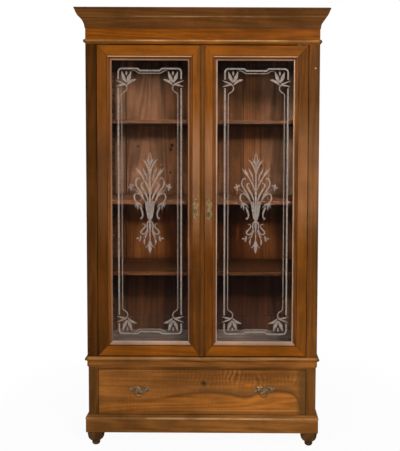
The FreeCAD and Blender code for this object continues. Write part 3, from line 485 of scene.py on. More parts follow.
def pane_moulding_light(sheet, where, colour):
    """Painted shadow and highlights on the pane moulding's groove, lip, head, right edge and sill."""
    x, y, z = sheet.parts(where)
    upright, inward = sheet.group(PANE_EDGE, Vector=where)
    level = sheet.less(1.0, upright)
    head = sheet.times(level, sheet.over(z, PANE_MIDDLE.z))
    arris_highlight = sheet.times(sheet.band(inward, 4 * MM, 1 * MM, 4 * MM, 0.75), head)
    arris_shadow = sheet.times(sheet.band(inward, 10 * MM, 1 * MM, 4 * MM, 0.7), head)
    # Painted highlight on the right upright edge
    edge = sheet.times(upright, sheet.over(x, 0.0))
    edge = sheet.times(edge, sheet.between(inward, 17 * MM, 21 * MM, 0.0, 0.6))
    sill_highlight = sheet.times(sheet.between(inward, 3 * MM, 8 * MM, 0.0, 0.62), sheet.less(level, head))
    # Painted shadow in the groove, painted sheen on the lip, painted highlight and shadow at the head's
    # arris, painted highlights on the right edge and sill
    return sheet.painted(
        colour, (sheet.between(inward, 1 * MM, 6 * MM, 0.55, 0.0), (52, 28, 12)),
        (sheet.between(inward, 13 * MM, 19 * MM, 0.0, 0.55), (140, 110, 90)), (arris_highlight, (190, 152, 124)),
        (arris_shadow, (52, 30, 18)), (edge, (214, 184, 158)), (sill_highlight, (192, 160, 136)))


def make_woods():
    """The cabinet's walnut in its different boards, and its pine."""
    moulding = {"grime": 0.7, "rubbed": 0.5}
    pine = {"contrast": 0.25, "lines": 0.8, "pores": 0.15, "gloss": 0.55, "rubbed": 0.1}
    # The by_place values paint light and shade by height and side, and a pale sheen, into each wood
    return {
        "foot": wood("walnut feet", "z", (90, 59, 28), gloss=0.2, mirror=0.12),
        "post": wood("walnut posts", "z", (84, 48, 16), 0.28, toned=post_light_and_spot),
        "base post": wood("walnut base posts", "z", (100, 62, 26), 0.28),
        "side": wood("walnut sides", "z", (100, 60, 24), 0.35, 0.6, start=(0.7, 0.2, 0.0)),
        "left stile": wood("walnut of the left hinge stile", "z", (106, 60, 18), 0.22, 0.25,
                           start=(0.3, 0.0, 0.4),
                           toned=by_place(Low=0.56, Middle=0.5, High=0.86, Bloom=0.05)),
        "right stile": wood("walnut of the right hinge stile", "z", (108, 62, 18), 0.22, 0.25,
                            start=(0.9, 0.0, 0.2),
                            toned=by_place(Low=1.15, Middle=1.3, High=0.62, Bloom=0.17)),
        "left meeting": wood("walnut of the left meeting stile", "z", (110, 63, 20), 0.25, 0.25,
                             start=(0.1, 0.0, 0.7), toned=by_place(Low=0.85, Middle=0.95, Bloom=0.25)),
        "right meeting": wood("walnut of the right meeting stile", "z", (112, 62, 16), 0.22, 0.25,
                              start=(0.6, 0.0, 0.1), toned=by_place(Low=0.87, Bloom=0.22)),
        "rail": wood("walnut door rails", "x", (128, 71, 16), 0.2, 0.25, start=(0.0, 0.0, 0.33),
                     toned=by_place(Low=1.12, High=0.8)),
        "astragal": wood("walnut meeting bead", "z", (100, 60, 24), 0.25, 0.2),
        "glazing": two_way_wood("walnut pane moulding", "z", PANE_EDGE, (112, 66, 30), toned=pane_moulding_light),
        "base": wood("walnut drawer rails", "x", (108, 66, 28), 0.25),
        "plinth": two_way_wood("walnut plinth", "y", SIDE_RUNS, (130, 82, 36),
                               toned=highlight_at(PLINTH_LIP, 7, 0.75), **moulding),
        "waist": two_way_wood("walnut waist moulding", "y", SIDE_RUNS, (140, 87, 38),
                              toned=highlight_at(WAIST_NOSE, 6, 0.5, 0.7), **moulding),
        "bead": two_way_wood("walnut frieze bead", "y", SIDE_RUNS, (124, 75, 26),
                             toned=highlight_at(BEAD_CROWN, 5, 0.65, 0.8), **moulding),
        "crown": two_way_wood("walnut cornice", "y", SIDE_RUNS, (90, 54, 22),
                              toned=highlight_at(CROWN_STEP, 3, 0.4), grime=0.7, rubbed=0.3),
        "frieze": two_way_wood("walnut frieze", "y", SIDE_RUNS, (118, 63, 12), 0.34, 0.2, grime=0.8),
        "shelf": wood("walnut shelves", "x", (103, 66, 45), 0.25, gloss=0.5, toned=lit_tops),
        # Painted shade: the lower shelf is a darker copy of the shelves' walnut, darker still on the right
        "low shelf": wood("darker walnut shelf", "x", (84, 49, 26), 0.25, gloss=0.5,
                          toned=by_place(Right=0.6)),
        # Painted shade: the case head's walnut is painted dark because it lies in shade above the top shelf
        "head": wood("dark case head", "x", (50, 30, 18), 0.25, gloss=0.55),
        "back": wood("reddish inside boards", "z", (122, 84, 60), 0.26, 0.4, gloss=0.55, grime=0.4,
                     toned=back_boards),
        "floor": wood("worn case floor boards", "x", (136, 114, 102), 0.25, gloss=0.6,
                      toned=by_place(Right=1.1)),
        "pine across": wood("pine, level boards", "x", (170, 128, 80), **pine),
        "pine in depth": wood("pine, boards front to back", "y", (170, 128, 80), **pine),
        "rack": wood("dark racks", "z", (92, 62, 44), 0.3, 0.2, 0.3, gloss=0.55),
    }


# The dark line in the drawer's veneer from left to right, the spot of its painted orange highlight, and the
# height of the pale line along its foot, in mm
VENEER_LINE = ((-526, 214), (-453, 231), (-262, 241), (-88, 270), (45, 281), (121, 274), (223, 258),
               (289, 277), (415, 288), (476, 263), (500, 199), (526, 180))
ORANGE_HIGHLIGHT = (236, 320)
PALE_LINE = 190
# The lowest height and the reach of the curve that draws the dark line, in mm
LINE_LOW, LINE_REACH = 150, 260
# Where the ripples are strongest: their middle across and how far that reaches, and the heights they
# grow between; then what lies between which places from left to right, all in metres
RIPPLES_MIDDLE, RIPPLES_NEAR, RIPPLES_FAR = 0.27, 0.08, 0.3
RIPPLES_GROW = (0.31, 0.37)
LINE_DARKENS = (-0.36, -0.1)
HAZE_STARTS = (-0.2, 0.02)
PALE_LINE_STARTS = (-0.14, 0.02)
FINE_ENDS = (0.0, 0.2)
RIGHT_END = (0.470, 0.505)


def veneer_line(sheet, x):
    """The height of the veneer's dark line at each place across the drawer."""
    left, right = VENEER_LINE[0][0], VENEER_LINE[-1][0]
    shares = [((across - left) / (right - left), (up - LINE_LOW) / LINE_REACH) for across, up in VENEER_LINE]
    across = sheet.between(x, left * MM, right * MM, smooth=False)
    curve = sheet.node("ShaderNodeFloatCurve", {"Value": across})
    points = curve.mapping.curves[0].points
    points[0].location, points[1].location = shares[0], shares[-1]
    for share in shares[1:-1]:
        points.new(*share)
    curve.mapping.update()
    return sheet.plus(sheet.times(curve.outputs[0], LINE_REACH * MM), LINE_LOW * MM)


def make_veneer():
    """Curly walnut veneer: upright ripples above a wandering dark line, plainer and redder wood below."""
    material, sheet, shader, where = new_material("curly walnut veneer")
    x, y, z = sheet.parts(where)
    bent = sheet.plus(x, sheet.times(sheet.noise(where, 7.0, 3.0, 0.5), 0.11))

    def waves(apart):
        """Upright waves so many mm apart, bent along the board."""
        return sheet.math("SINE", sheet.times(bent, 2 * pi / (apart * MM)))

    wander = sheet.times(sheet.less(sheet.noise(where, 9.0, 4.0, 0.6), 0.5), 14 * MM)
    above = sheet.less(z, sheet.plus(veneer_line(sheet, x), wander))
    plain = grain(sheet, where, "x", (160, 97, 38), 0.22, 0.4)
    curly = grain(sheet, where, "x", (142, 88, 38), 0.22, 0.25)
    patchy = sheet.between(sheet.noise(where, 6.0, 3.0, 0.6), 0.36, 0.62, 0.1, 1.0)
    strongest = sheet.between(sheet.off(x, RIPPLES_MIDDLE), RIPPLES_NEAR, RIPPLES_FAR, 1.0, 0.22)
    strongest = sheet.times(strongest, sheet.between(z, *RIPPLES_GROW, 0.4, 1.0))
    ripple = sheet.times(waves(21), sheet.times(patchy, strongest))
    upper = sheet.tinted(curly["Color"], sheet.between(ripple, -1.0, 1.0, 0.62, 1.38, False))
    colour = sheet.mixed(sheet.between(above, -3 * MM, 3 * MM), plain["Color"], upper)
    haze = sheet.times(sheet.between(above, 0.0, 4 * MM), sheet.between(above, 16 * MM, 42 * MM, 0.5, 0.0))
    line = sheet.times(sheet.band(above, 0.0, 0.0, 16 * MM, 0.5), sheet.between(x, *LINE_DARKENS, 0.1, 1.0))
    fine = sheet.times(sheet.between(waves(12), -1.0, 1.0, 0.0, 0.3), sheet.between(x, *FINE_ENDS, 1.0, 0.0))
    pale_line = sheet.band(z, PALE_LINE * MM, 0.8 * MM, 2.4 * MM, 0.4)
    # The orange spot is a painted highlight on the ripples
    colour = sheet.painted(
        colour, (sheet.times(haze, sheet.between(x, *HAZE_STARTS)), (98, 70, 44)), (line, (58, 34, 14)),
        (sheet.times(fine, patchy), (84, 50, 20)), (sheet.spot(x, z, ORANGE_HIGHLIGHT, 1, 14, 0.6, 0.4), (200, 112, 24)),
        (sheet.times(pale_line, sheet.between(x, *PALE_LINE_STARTS)), (206, 158, 100)),
        (sheet.between(z, (PALE_LINE - 3) * MM, PALE_LINE * MM, 0.35, 0.0), (84, 56, 26)),
        (sheet.between(x, *RIGHT_END, 0.0, 0.85), (92, 62, 30)))
    polish(sheet, shader, where, colour, plain["Roughness"], plain["Height"], 0.36)
    return material


def metal(name, bright, dull, amount, metallic=1.0):
    """Old metal between its bright and dull paints, tarnished by an amount."""
    material, sheet, shader, where = new_material(name)
    aged = sheet.group(TARNISH, Vector=where, Bright=paint(*bright), Dull=paint(*dull), Amount=amount)
    sheet.fill(shader, {"Base Color": aged["Color"], "Roughness": aged["Roughness"], "Metallic": metallic})
    bump(sheet, shader, aged["Height"], 0.1 * MM, 0.35)
    return material


def make_glass():
    """Old pane glass, faintly smeared; rays from lamps go straight through it."""
    material, sheet, shader, where = new_material("old pane glass")
    smears = sheet.noise(where, 4.0, 4.0, 0.6)
    sheet.fill(shader, {"Transmission Weight": 1.0, "IOR": 1.45, "Specular IOR Level": 0.3, "Roughness": 0.0,
                        "Base Color": sheet.mixed(smears, (0.98, 0.98, 0.97, 1.0), (0.93, 0.94, 0.92, 1.0))})
    clear = sheet.node("ShaderNodeBsdfTransparent", {"Color": (0.95, 0.96, 0.94, 1.0)})
    sheet.surface(sheet.node("ShaderNodeLightPath").outputs["Is Shadow Ray"], shader, clear)
    return material


def make_etching():
    """Acid-etched ornament: a pale matt bloom on the glass, a little uneven."""
    material, sheet, shader, where = new_material("etched glass")
    bloom_and_sheen = sheet.noise(where, 90.0, 5.0, 0.7)
    fine = sheet.noise(where, 1400.0, 2.0, 0.6)
    tone = sheet.between(sheet.plus(bloom_and_sheen, sheet.times(fine, 0.4)), 0.4, 1.0)
    sheet.fill(shader, {"Base Color": sheet.mixed(tone, paint(130, 116, 107), paint(162, 146, 135)),
                        "Roughness": sheet.between(bloom_and_sheen, 0.3, 0.7, 0.7, 0.9),
                        "Alpha": sheet.between(tone, 0.0, 1.0, 0.6, 0.8)})
    bump(sheet, shader, fine, 0.05 * MM, 0.3)
    return material


BRASS = metal("old brass", (222, 184, 134), (118, 88, 56), 0.44, 0.85)
DULL_BRASS = metal("dull brass", (160, 120, 78), (84, 58, 34), 0.6, 0.85)
IRON = metal("browned iron", (50, 41, 34), (28, 21, 16), 0.9, 0.4)
ETCHING = make_etching()
LOOKS = make_woods()
LOOKS.update({"brass": BRASS, "dull brass": DULL_BRASS, "iron": IRON, "veneer": make_veneer(),
              "steel": metal("worn steel", (176, 172, 166), (92, 84, 76), 0.4), "glass": make_glass()})

# The pieces in each finish
PIECES = {
    "foot": "turned_feet",
    "plinth": "plinth_boards",
    "base post": "base_posts",
    "side": "base_left_side base_right_side case_left_side case_right_side",
    "base": "drawer_rails",
    "waist": "waist_moulding",
    "post": "case_front_posts case_back_posts",
    "floor": "case_floor",
    "head": "case_head",
    "back": "back_frame back_panels",
    "rack": "toothed_racks shelf_cleats",
    "shelf": "upper_shelf middle_shelf",
    "low shelf": "lower_shelf",
    "frieze": "frieze_boards",
    "bead": "frieze_bead",
    "crown": "crown_moulding",
    "pine across": "base_floor base_back cornice_top drawer_back drawer_bottom",
    "pine in depth": "drawer_runners drawer_left_side drawer_right_side",
    "veneer": "drawer_front",
    "dull brass": "drawer_lock",
    "steel": "door_key",
    "iron": "pivot_sockets door_lock left_door_pivots right_door_pivots",
    "brass": "lock_bolt left_door_keeper left_door_escutcheon right_door_escutcheon"
             " drawer_pull_plates drawer_left_bail drawer_right_bail",
    "left stile": "left_door_hinge_stile",
    "right stile": "right_door_hinge_stile",
    "left meeting": "left_door_meeting_stile",
    "right meeting": "right_door_meeting_stile",
    "astragal": "left_door_astragal",
    "rail": "left_door_top_rail left_door_bottom_rail right_door_top_rail right_door_bottom_rail",
    "glazing": "left_door_glazing right_door_glazing left_door_back_beads right_door_back_beads",
    "glass": "left_door_glass right_door_glass",
}

FINISH_OF = {piece: LOOKS[finish] for finish, pieces in PIECES.items() for piece in pieces.split()}

# Pieces whose corners are eased by wear and polish, and by how much, in mm; at 0 only curves are smoothed
EASED = {
    "turned_feet": 0.0, "plinth_boards": 1.6, "base_posts": 1.6, "base_left_side": 0.8,
    "base_right_side": 0.8, "drawer_rails": 1.2, "waist_moulding": 1.6, "case_front_posts": 1.6,
    "case_back_posts": 1.2, "upper_shelf": 2.0, "middle_shelf": 2.0, "lower_shelf": 2.0,
    "frieze_boards": 0.8, "frieze_bead": 0.8, "crown_moulding": 1.4, "door_key": 0.0,
    "drawer_front": 2.2, "drawer_lock": 0.4, "drawer_left_bail": 0.0, "drawer_right_bail": 0.0,
    "left_door_astragal": 1.2,
}
for door, meeting in zip(DOORS, (1.4, 3.0)):
    EASED.update({door + "_hinge_stile": 1.4, door + "_meeting_stile": meeting, door + "_top_rail": 1.4,
                  door + "_bottom_rail": 1.4, door + "_glazing": 0.8, door + "_escutcheon": 0.5})
MITRED = ("plinth_boards", "waist_moulding", "frieze_boards", "frieze_bead", "crown_moulding",
          "left_door_glazing", "right_door_glazing")
# Corners closer than this are one; a spot this far under a face is inside its length of moulding
ONE_PLACE = 0.01 * MM
UNDER_FACE = 0.05 * MM
# Faces turned by less than the first angle are flat, and edges turned by more than the second sharp
FLAT, SHARP = radians(0.4), radians(32)
BRASS_SHARP = radians(50)


def new_thing(name, data):
    thing = bpy.data.objects.new(name, data)
    bpy.context.scene.collection.objects.link(thing)
    return thing


def mesh_of(name, shape, sharp=None):
    """The shape's mesh; with sharp, an angle, it is smooth between its sharper edges."""
    mesh = bpy.data.meshes.new(name)
    shape.to_mesh(mesh)
    shape.free()
    if sharp:
        mesh.shade_smooth()
        mesh.set_sharp_from_angle(angle=sharp)
    return mesh


def link(name, mesh, material, body, stands_for=()):
    """Puts a piece in the scene that moves with a body, and perhaps stands for CAD pieces."""
    mesh.materials.clear()
    mesh.materials.append(material)
    thing = new_thing(name, mesh)
    if stands_for:
        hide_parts(*stands_for)
    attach(thing, body)
    return thing


def run_of(node, spot):
    """Which length of a mitred moulding a spot inside it belongs to."""
    if node.endswith("glazing"):
        across = abs(abs(spot.x) - PANE_MIDDLE.x) - PANE_HALF.x
        up = abs(spot.z - PANE_MIDDLE.z) - PANE_HALF.z
        return (1, abs(spot.x) > PANE_MIDDLE.x) if across > up else (0, spot.z > PANE_MIDDLE.z)
    return (1, spot.x > 0) if abs(spot.x) - CASE_HALF > CASE_FRONT - spot.y else (0, spot.y > 0)


def ease(node, width, material):
    """A copy of a CAD piece with its sharp corners eased and its curves smooth."""
    shape = bmesh.new()
    shape.from_mesh(NODES[node].data)
    runs = {0: shape.verts}
    if node in MITRED:
        bmesh.ops.split_edges(shape, edges=shape.edges)
        runs = {}
        for face in shape.faces:
            inside = face.calc_center_median() - face.normal * UNDER_FACE
            runs.setdefault(run_of(node, inside), {}).update(dict.fromkeys(face.verts))
    for verts in runs.values():
        bmesh.ops.remove_doubles(shape, verts=list(verts), dist=ONE_PLACE)
    bmesh.ops.dissolve_limit(shape, angle_limit=FLAT, verts=shape.verts, edges=shape.edges)
    name = node + "_eased"
    thing = link(name, mesh_of(name, shape, SHARP), material, BODY_OF[node], (node,))
    if width:
        bevel = thing.modifiers.new("eased corners", "BEVEL")
        bevel.width, bevel.segments = width * MM, 2
        bevel.limit_method, bevel.angle_limit = "ANGLE", SHARP
        bevel.harden_normals = True


for piece, width in EASED.items():
    ease(piece, width, FINISH_OF[piece])
for piece, material in FINISH_OF.items():
    if piece not in EASED:
        for slot in NODES[piece].material_slots:
            slot.material = material


def smooth_path(points, widths, steps, least=0.0):
    """A soft line through the points: each place on it, the step from it to the line's edge, the width."""
    line, wide = [], []
    last = len(points) - 1
    for index in range(last):
        near = [points[min(max(index + k, 0), last)] for k in (-1, 0, 1, 2)]
        for step in range(steps + (index == last - 1)):
            t = step / steps
            weights = ((-t + 2 * t * t - t ** 3) / 2, (2 - 5 * t * t + 3 * t ** 3) / 2,
                       (t + 4 * t * t - 3 * t ** 3) / 2, (t ** 3 - t * t) / 2)
            line.append(Vector([sum(w * p[i] for w, p in zip(weights, near)) for i in (0, 1)]))
            wide.append(widths[index] + (widths[index + 1] - widths[index]) * t)
    path = []
    for index, (place, width) in enumerate(zip(line, wide)):
        ahead = line[min(index + 1, len(line) - 1)] - line[max(index - 1, 0)]
        path.append((place, Vector((-ahead.y, ahead.x)).normalized() * max(width, least) / 2, width))
    return path


# The etching's thickness and its gap to the glass; strokes that cross lie in layers, so that none share
# a face; the thinnest stroke is in mm
ETCH_THICK = 0.12 * MM
ETCH_GAP = 0.02 * MM
ETCH_LAYERS, ETCH_LAYER = 40, 0.004 * MM
THINNEST = 0.6
# The ornament's axis on each door and the bouquet's middle height, in mm
ETCH_AXIS, ETCH_ASIDE = 266, 1.8
ETCH_MIDDLE = 1250
# The frame round the pane: half its width, its ends, its corners' radius and how far they run down,
# where its sides start, and its stepped middle, in mm
FRAME_HALF = 157
FRAME_TOP, FRAME_FOOT = 1920, 583
FRAME_CORNER, CORNER_DOWN = 17, 53
SIDE_START = 96
STEP_START, STEP_END, STEP_DEEP = 61, 50, 10
# The thin line inside it: its gap to the sides and where they start, its depth and half length at the ends
INNER_GAP, INNER_START = 17, 140
INNER_DEEP, INNER_HALF = 23, 54
# How wide the frame's thick line and the thin line inside it are, in mm
FRAME_LINE, INNER_LINE = 7.6, 3.6


class Etching:
    """Gathers thin etched shapes on one door's pane, in millimetres from the ornament's axis."""

    def __init__(self, axis, face):
        self.shape = bmesh.new()
        self.axis = axis
        self.face = face
        self.count = 0

    def slab(self, left, right, mirrored=False):
        """A thin closed slab between two edges, each a list of (across, up), and perhaps its mirror image."""
        self.count += 1
        front = self.face - ETCH_THICK - (self.count % ETCH_LAYERS) * ETCH_LAYER
        rows = []
        for ends in zip(left, right):
            rows.append([self.shape.verts.new(((self.axis + x) * MM, y, z * MM))
                         for y in (front, self.face - ETCH_GAP) for x, z in ends])
        for one, two in zip(rows, rows[1:]):
            for a, b in ((0, 1), (1, 3), (3, 2), (2, 0)):
                self.shape.faces.new((one[a], one[b], two[b], two[a]))
        self.shape.faces.new(rows[0][i] for i in (0, 2, 3, 1))
        self.shape.faces.new(rows[-1][i] for i in (0, 1, 3, 2))
        if mirrored:
            self.slab([(-x, z) for x, z in right], [(-x, z) for x, z in left])

    def stroke(self, points, widths, mirrored=False, steps=7):
        path = smooth_path(points, widths, steps, THINNEST)
        self.slab([place + aside for place, aside, width in path],
                  [place - aside for place, aside, width in path], mirrored)

    def bar(self, one, two, width):
        self.stroke((one, two), (width, width), steps=1)

    def disc(self, centre, radius, mirrored=False):
        turns = [pi * step / 8 for step in range(9)]
        edges = [[(centre[0] - radius * cos(turn), centre[1] + side * radius * max(sin(turn), 0.08))
                  for turn in turns] for side in (1, -1)]
        self.slab(*edges, mirrored)


# The bouquet's right half, from its tip down: (points across and up from the middle, widths)
BOUQUET = (
    (((0, 253), (5, 236), (7, 222), (5, 206), (0, 190)), (1, 4, 4, 4, 2)),
    (((18, 223), (11, 209), (5, 198), (1, 186)), (1, 6, 6, 3)),
    (((39, 218), (25, 207), (15, 190), (7, 170), (2, 145)), (1, 7, 9, 7, 4)),
    (((37, 175), (27, 154), (18, 136), (13, 108)), (1, 8, 7, 2)),
    (((70, 175), (58, 158), (39, 132)), (1, 7, 4)),
    (((54, 174), (50, 156), (39, 132)), (1, 6, 4)),
    (((42, 156), (42, 145), (38, 132)), (1, 5, 4)),
    (((39, 134), (27, 115), (15, 90), (6, 66)), (5, 7, 7, 4)),
    (((49, 119), (57, 125), (66, 118), (71, 101), (67, 83), (53, 62), (38, 38), (27, 8)),
     (3, 6, 6, 7, 7, 7, 6, 4)),
    (((31, 99), (39, 98), (45, 88), (34, 66), (20, 41), (9, 12)), (3, 6, 7, 9, 9, 5)),
    (((84, 72), (68, 60), (50, 46), (30, 22)), (2, 3, 3, 3)),
    (((31, 14), (45, 34), (60, 46), (73, 44), (79, 29), (74, 13), (64, 0)), (3, 4, 5, 6, 6, 5, 4)),
    (((60, 0), (48, -10), (33, -24)), (5, 7, 1)),
    (((62, 0), (61, -18), (61, -38)), (6, 8, 1)),
    (((64, 0), (70, -12), (75, -26)), (5, 7, 1)),
    (((66, 4), (74, -2), (83, -8)), (3, 4, 1)),
    (((50, -21), (42, -37), (36, -58), (38, -72), (42, -78)), (7, 9, 7, 6, 5)),
    (((22, 8), (18, -22), (13, -60), (8, -84)), (6, 8, 6, 3)),
    (((12, 8), (9, -30), (6, -70), (3, -88)), (7, 7, 5, 3)),
    (((1, -90), (11, -99), (15, -118), (12, -140)), (5, 6, 7, 4)),
    (((39, -108), (30, -107), (24, -117), (32, -131), (44, -143), (44, -154), (33, -159), (22, -151),
      (12, -134)), (3, 4, 5, 6, 7, 7, 6, 5, 4)),
    (((9, -138), (19, -163), (26, -184)), (5, 5, 4)),
    (((26, -181), (29, -196), (27, -215)), (3, 10, 1)),
    (((2, -192), (10, -216), (23, -227)), (4, 6, 3)),
    (((17, -152), (25, -167), (37, -179)), (3, 3, 2)),
)
# The line down the bouquet's middle, in the same way
BOUQUET_SPINE = (
    (((0, 192), (0, 120), (0, 60), (0, 0)), (3, 6, 10, 9)),
    (((0, 0), (0, -45), (0, -90)), (9, 8, 6)),
    (((0, -92), (0, -112), (0, -136)), (5, 14, 6)),
    (((0, -136), (0, -190)), (6, 5)),
    (((0, -192), (0, -231), (0, -255)), (2, 17, 1)),
)
# Its open flowers, each a heart and the petals round it, and its berry
FLOWERS = (((93, 78), ((84, 87), (97, 90), (105, 78), (94, 67))),
           ((46, -180), ((48, -171), (62, -180), (51, -190))))
BERRY = (44, -78)
# The tulip, leaves and curl in one corner, in from the frame's upright and down from its end
CORNER = (
    (((39, 68), (27, 44), (17, 14)), (4, 18, 1)),
    (((41, 68), (54, 44), (65, 13)), (4, 18, 1)),
    (((41, 34), (41, 22), (41, 12)), (3, 10, 2)),
    (((43, 80), (60, 64), (76, 57), (90, 54)), (3, 13, 11, 1)),
    (((36, 76), (12, 68), (-13, 58)), (3, 8, 1)),
    (((34, 80), (12, 82), (-12, 89)), (3, 9, 1)),
    (((17, 142), (18, 127), (25, 119), (36, 112), (43, 98), (39, 84), (28, 77), (16, 79)),
     (4, 4, 4, 5, 5, 5, 5, 3)),
)


def frame_line(etching, end, flip):
    """The thick outer line round one end of the pane, with its stepped middle and rounded corners."""
    outline = [(-FRAME_HALF, end - flip * CORNER_DOWN)]
    for turn in (pi / 2, pi / 3, pi / 6, 0):
        inward, down = FRAME_CORNER * (1 - sin(turn)), FRAME_CORNER * (1 - cos(turn))
        outline.append((-FRAME_HALF + inward, end - flip * down))
    outline += [(-STEP_START, end), (-STEP_END, end - flip * STEP_DEEP)]
    outline += [(-x, z) for x, z in reversed(outline)]
    for one, two in zip(outline, outline[1:]):
        etching.bar(one, two, FRAME_LINE)
    for place in outline[1:-1]:
        etching.disc(place, 0.49 * FRAME_LINE)


def inner_line(etching, end, flip):
    """The thin line that follows the stepped middle, its ends curling up beside the sprays."""
    curl = ((33, 10), (19, 11), (9, 17), (0, INNER_DEEP))
    for side in (1, -1):
        etching.stroke([(-side * (INNER_HALF + out), end - flip * down) for out, down in curl], (1, 3, 4, 4))
    etching.bar((-INNER_HALF, end - flip * INNER_DEEP), (INNER_HALF, end - flip * INNER_DEEP), 4)


def corner_spray(etching, side, end, flip):
    """The tulip, leaves and curl in one corner of the frame."""
    for points, widths in CORNER:
        etching.stroke([(side * (across - FRAME_HALF), end - flip * down) for across, down in points],
                       widths)


def bouquet(etching):
    """The flowers and leaves in the middle of the pane."""
    def raised(*points):
        return [(x, ETCH_MIDDLE + z) for x, z in points]

    for points, widths in BOUQUET:
        etching.stroke(raised(*points), widths, True)
    for points, widths in BOUQUET_SPINE:
        etching.stroke(raised(*points), widths)
    for heart, petals in FLOWERS:
        for petal in petals:
            tip = [heart[i] + 1.5 * (petal[i] - heart[i]) for i in (0, 1)]
            etching.stroke(raised(heart, petal, tip), (2, 9, 2), True)
    etching.disc(*raised(BERRY), 5.5, True)


def etch(body):
    """The frame, sprays and bouquet on one door's glass."""
    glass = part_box(body + "_glass")[0]
    etching = Etching((ETCH_AXIS if glass.x > 0 else -ETCH_AXIS) + ETCH_ASIDE, glass.y)
    for end, flip in ((FRAME_TOP, 1), (FRAME_FOOT, -1)):
        frame_line(etching, end, flip)
        inner_line(etching, end, flip)
        for side in (1, -1):
            corner_spray(etching, side, end, flip)
    for side in (1, -1):
        for across, start, width in ((FRAME_HALF, SIDE_START, FRAME_LINE),
                                     (FRAME_HALF - INNER_GAP, INNER_START, INNER_LINE)):
            etching.bar((side * across, FRAME_TOP - start), (side * across, FRAME_FOOT + start), width)
    bouquet(etching)
    bmesh.ops.recalc_face_normals(etching.shape, faces=etching.shape.faces)
    name = body + "_etching"
    link(name, mesh_of(name, etching.shape), ETCHING, body)


for door in DOORS:
    etch(door)


# How far brass ornament is let into its plate, in mm, and the ways its right or upper right part is mirrored
SUNK = 0.15
BOTH = ((1, 1), (-1, 1))
FOUR = ((1, 1), (-1, 1), (1, -1), (-1, -1))
# Lengths of a pull plate's half, and the softened rim round it, in mm
PULL_STEPS = 60
PULL_RIM = 1.8


def scallop(edge, across):
    """The height of a scalloped edge, given by its crests and hollows, at a place across it."""
    for (near, start), (far, end) in zip(edge, edge[1:]):
        if across <= far:
            return start + (end - start) * (1 - cos(pi * (across - near) / (far - near))) / 2
    return edge[-1][1]


class Relief:
    """Gathers raised, rounded brass ornament on an upright plate, in millimetres from its middle."""

    def __init__(self, middle, face):
        self.shape = bmesh.new()
        self.middle = middle
        self.face = face

    def vert(self, across, up, proud):
        place = (self.middle[0] + across, self.face - proud, self.middle[1] + up)
        return self.shape.verts.new([part * MM for part in place])

    def loft(self, rings):
        """Skins a row of rings and closes its ends."""
        for one, two in zip(rings, rings[1:]):
            for i in range(len(one)):
                j = (i + 1) % len(one)
                self.shape.faces.new((one[i], one[j], two[j], two[i]))
        self.shape.faces.new(rings[0])
        self.shape.faces.new(list(reversed(rings[-1])))

    def scroll(self, points, widths, rise, flips):
        """A tapering half-round band along the points; each flip mirrors it across and up."""
        turns = [pi * step / 5 for step in range(6)]
        for across, up in flips:
            rings = []
            for place, aside, width in smooth_path(points, widths, 5):
                high = rise * min(1.0, width / max(widths) + 0.15)
                spots = [place + aside * cos(turn) for turn in turns]
                rings.append([self.vert(spot.x * across, spot.y * up, high * sin(turn) - SUNK)
                              for spot, turn in zip(spots, turns)])
            self.loft(rings)

    def boss(self, centre, profile, around=20):
        """A turned knob or rosette: profile gives (radius, rise) from its rim to its crown."""
        turns = [2 * pi * i / around for i in range(around)]
        self.loft([[self.vert(centre[0] + radius * cos(turn), centre[1] + radius * sin(turn), rise)
                    for turn in turns] for radius, rise in profile])

    def plate(self, top, foot, thick):
        """A scalloped plate with a softened rim; top and foot run from its middle to its right tip."""
        reach = top[-1][0]
        rings = []
        for step in range(-PULL_STEPS, PULL_STEPS + 1):
            across = reach * step / PULL_STEPS
            high, low = scallop(top, abs(across)), scallop(foot, abs(across))
            inset = min(PULL_RIM, 0.4 * (high - low))
            front = thick * min(1.0, (reach - abs(across)) / PULL_RIM + 0.3)
            outline = ((high, 0.0), (high, 0.5 * front), (high - inset, front),
                       (low + inset, front), (low, 0.5 * front), (low, 0.0))
            rings.append([self.vert(across, up, proud - thick) for up, proud in outline])
        self.loft(rings)

    def finish(self, name, body, material, stands_for=()):
        bmesh.ops.recalc_face_normals(self.shape, faces=self.shape.faces)
        link(name, mesh_of(name, self.shape, BRASS_SHARP), material, body, stands_for)


# Ornament of an escutcheon's upper right quarter: (points across and up, widths, rise)
ESCUTCHEON_ORNAMENT = (
    (((0, 51), (7, 44), (11.5, 34), (13.4, 23), (10.5, 12), (7.4, 3), (7.2, 0)),
     (1.6, 1.9, 2.0, 2.2, 1.9, 1.8, 1.7), 1.3),
    (((1.4, 45), (4.6, 41), (6.4, 36), (5.4, 31.5), (2.6, 31.5), (2.2, 34)),
     (1.2, 1.6, 2.0, 1.8, 1.3, 0.9), 1.4),
    (((1.0, 28), (4.0, 27), (8.4, 24.5), (8.0, 19), (4.2, 17.5), (3.4, 20.5)),
     (1.3, 1.6, 2.2, 1.9, 1.4, 0.9), 1.5),
    (((10.5, 22), (7.5, 13), (3.2, 9), (1.2, 13)), (0.9, 1.7, 1.7, 0.9), 1.1),
    (((0, 43), (0, 37), (0, 29)), (0.8, 2.2, 0.8), 1.2),
)
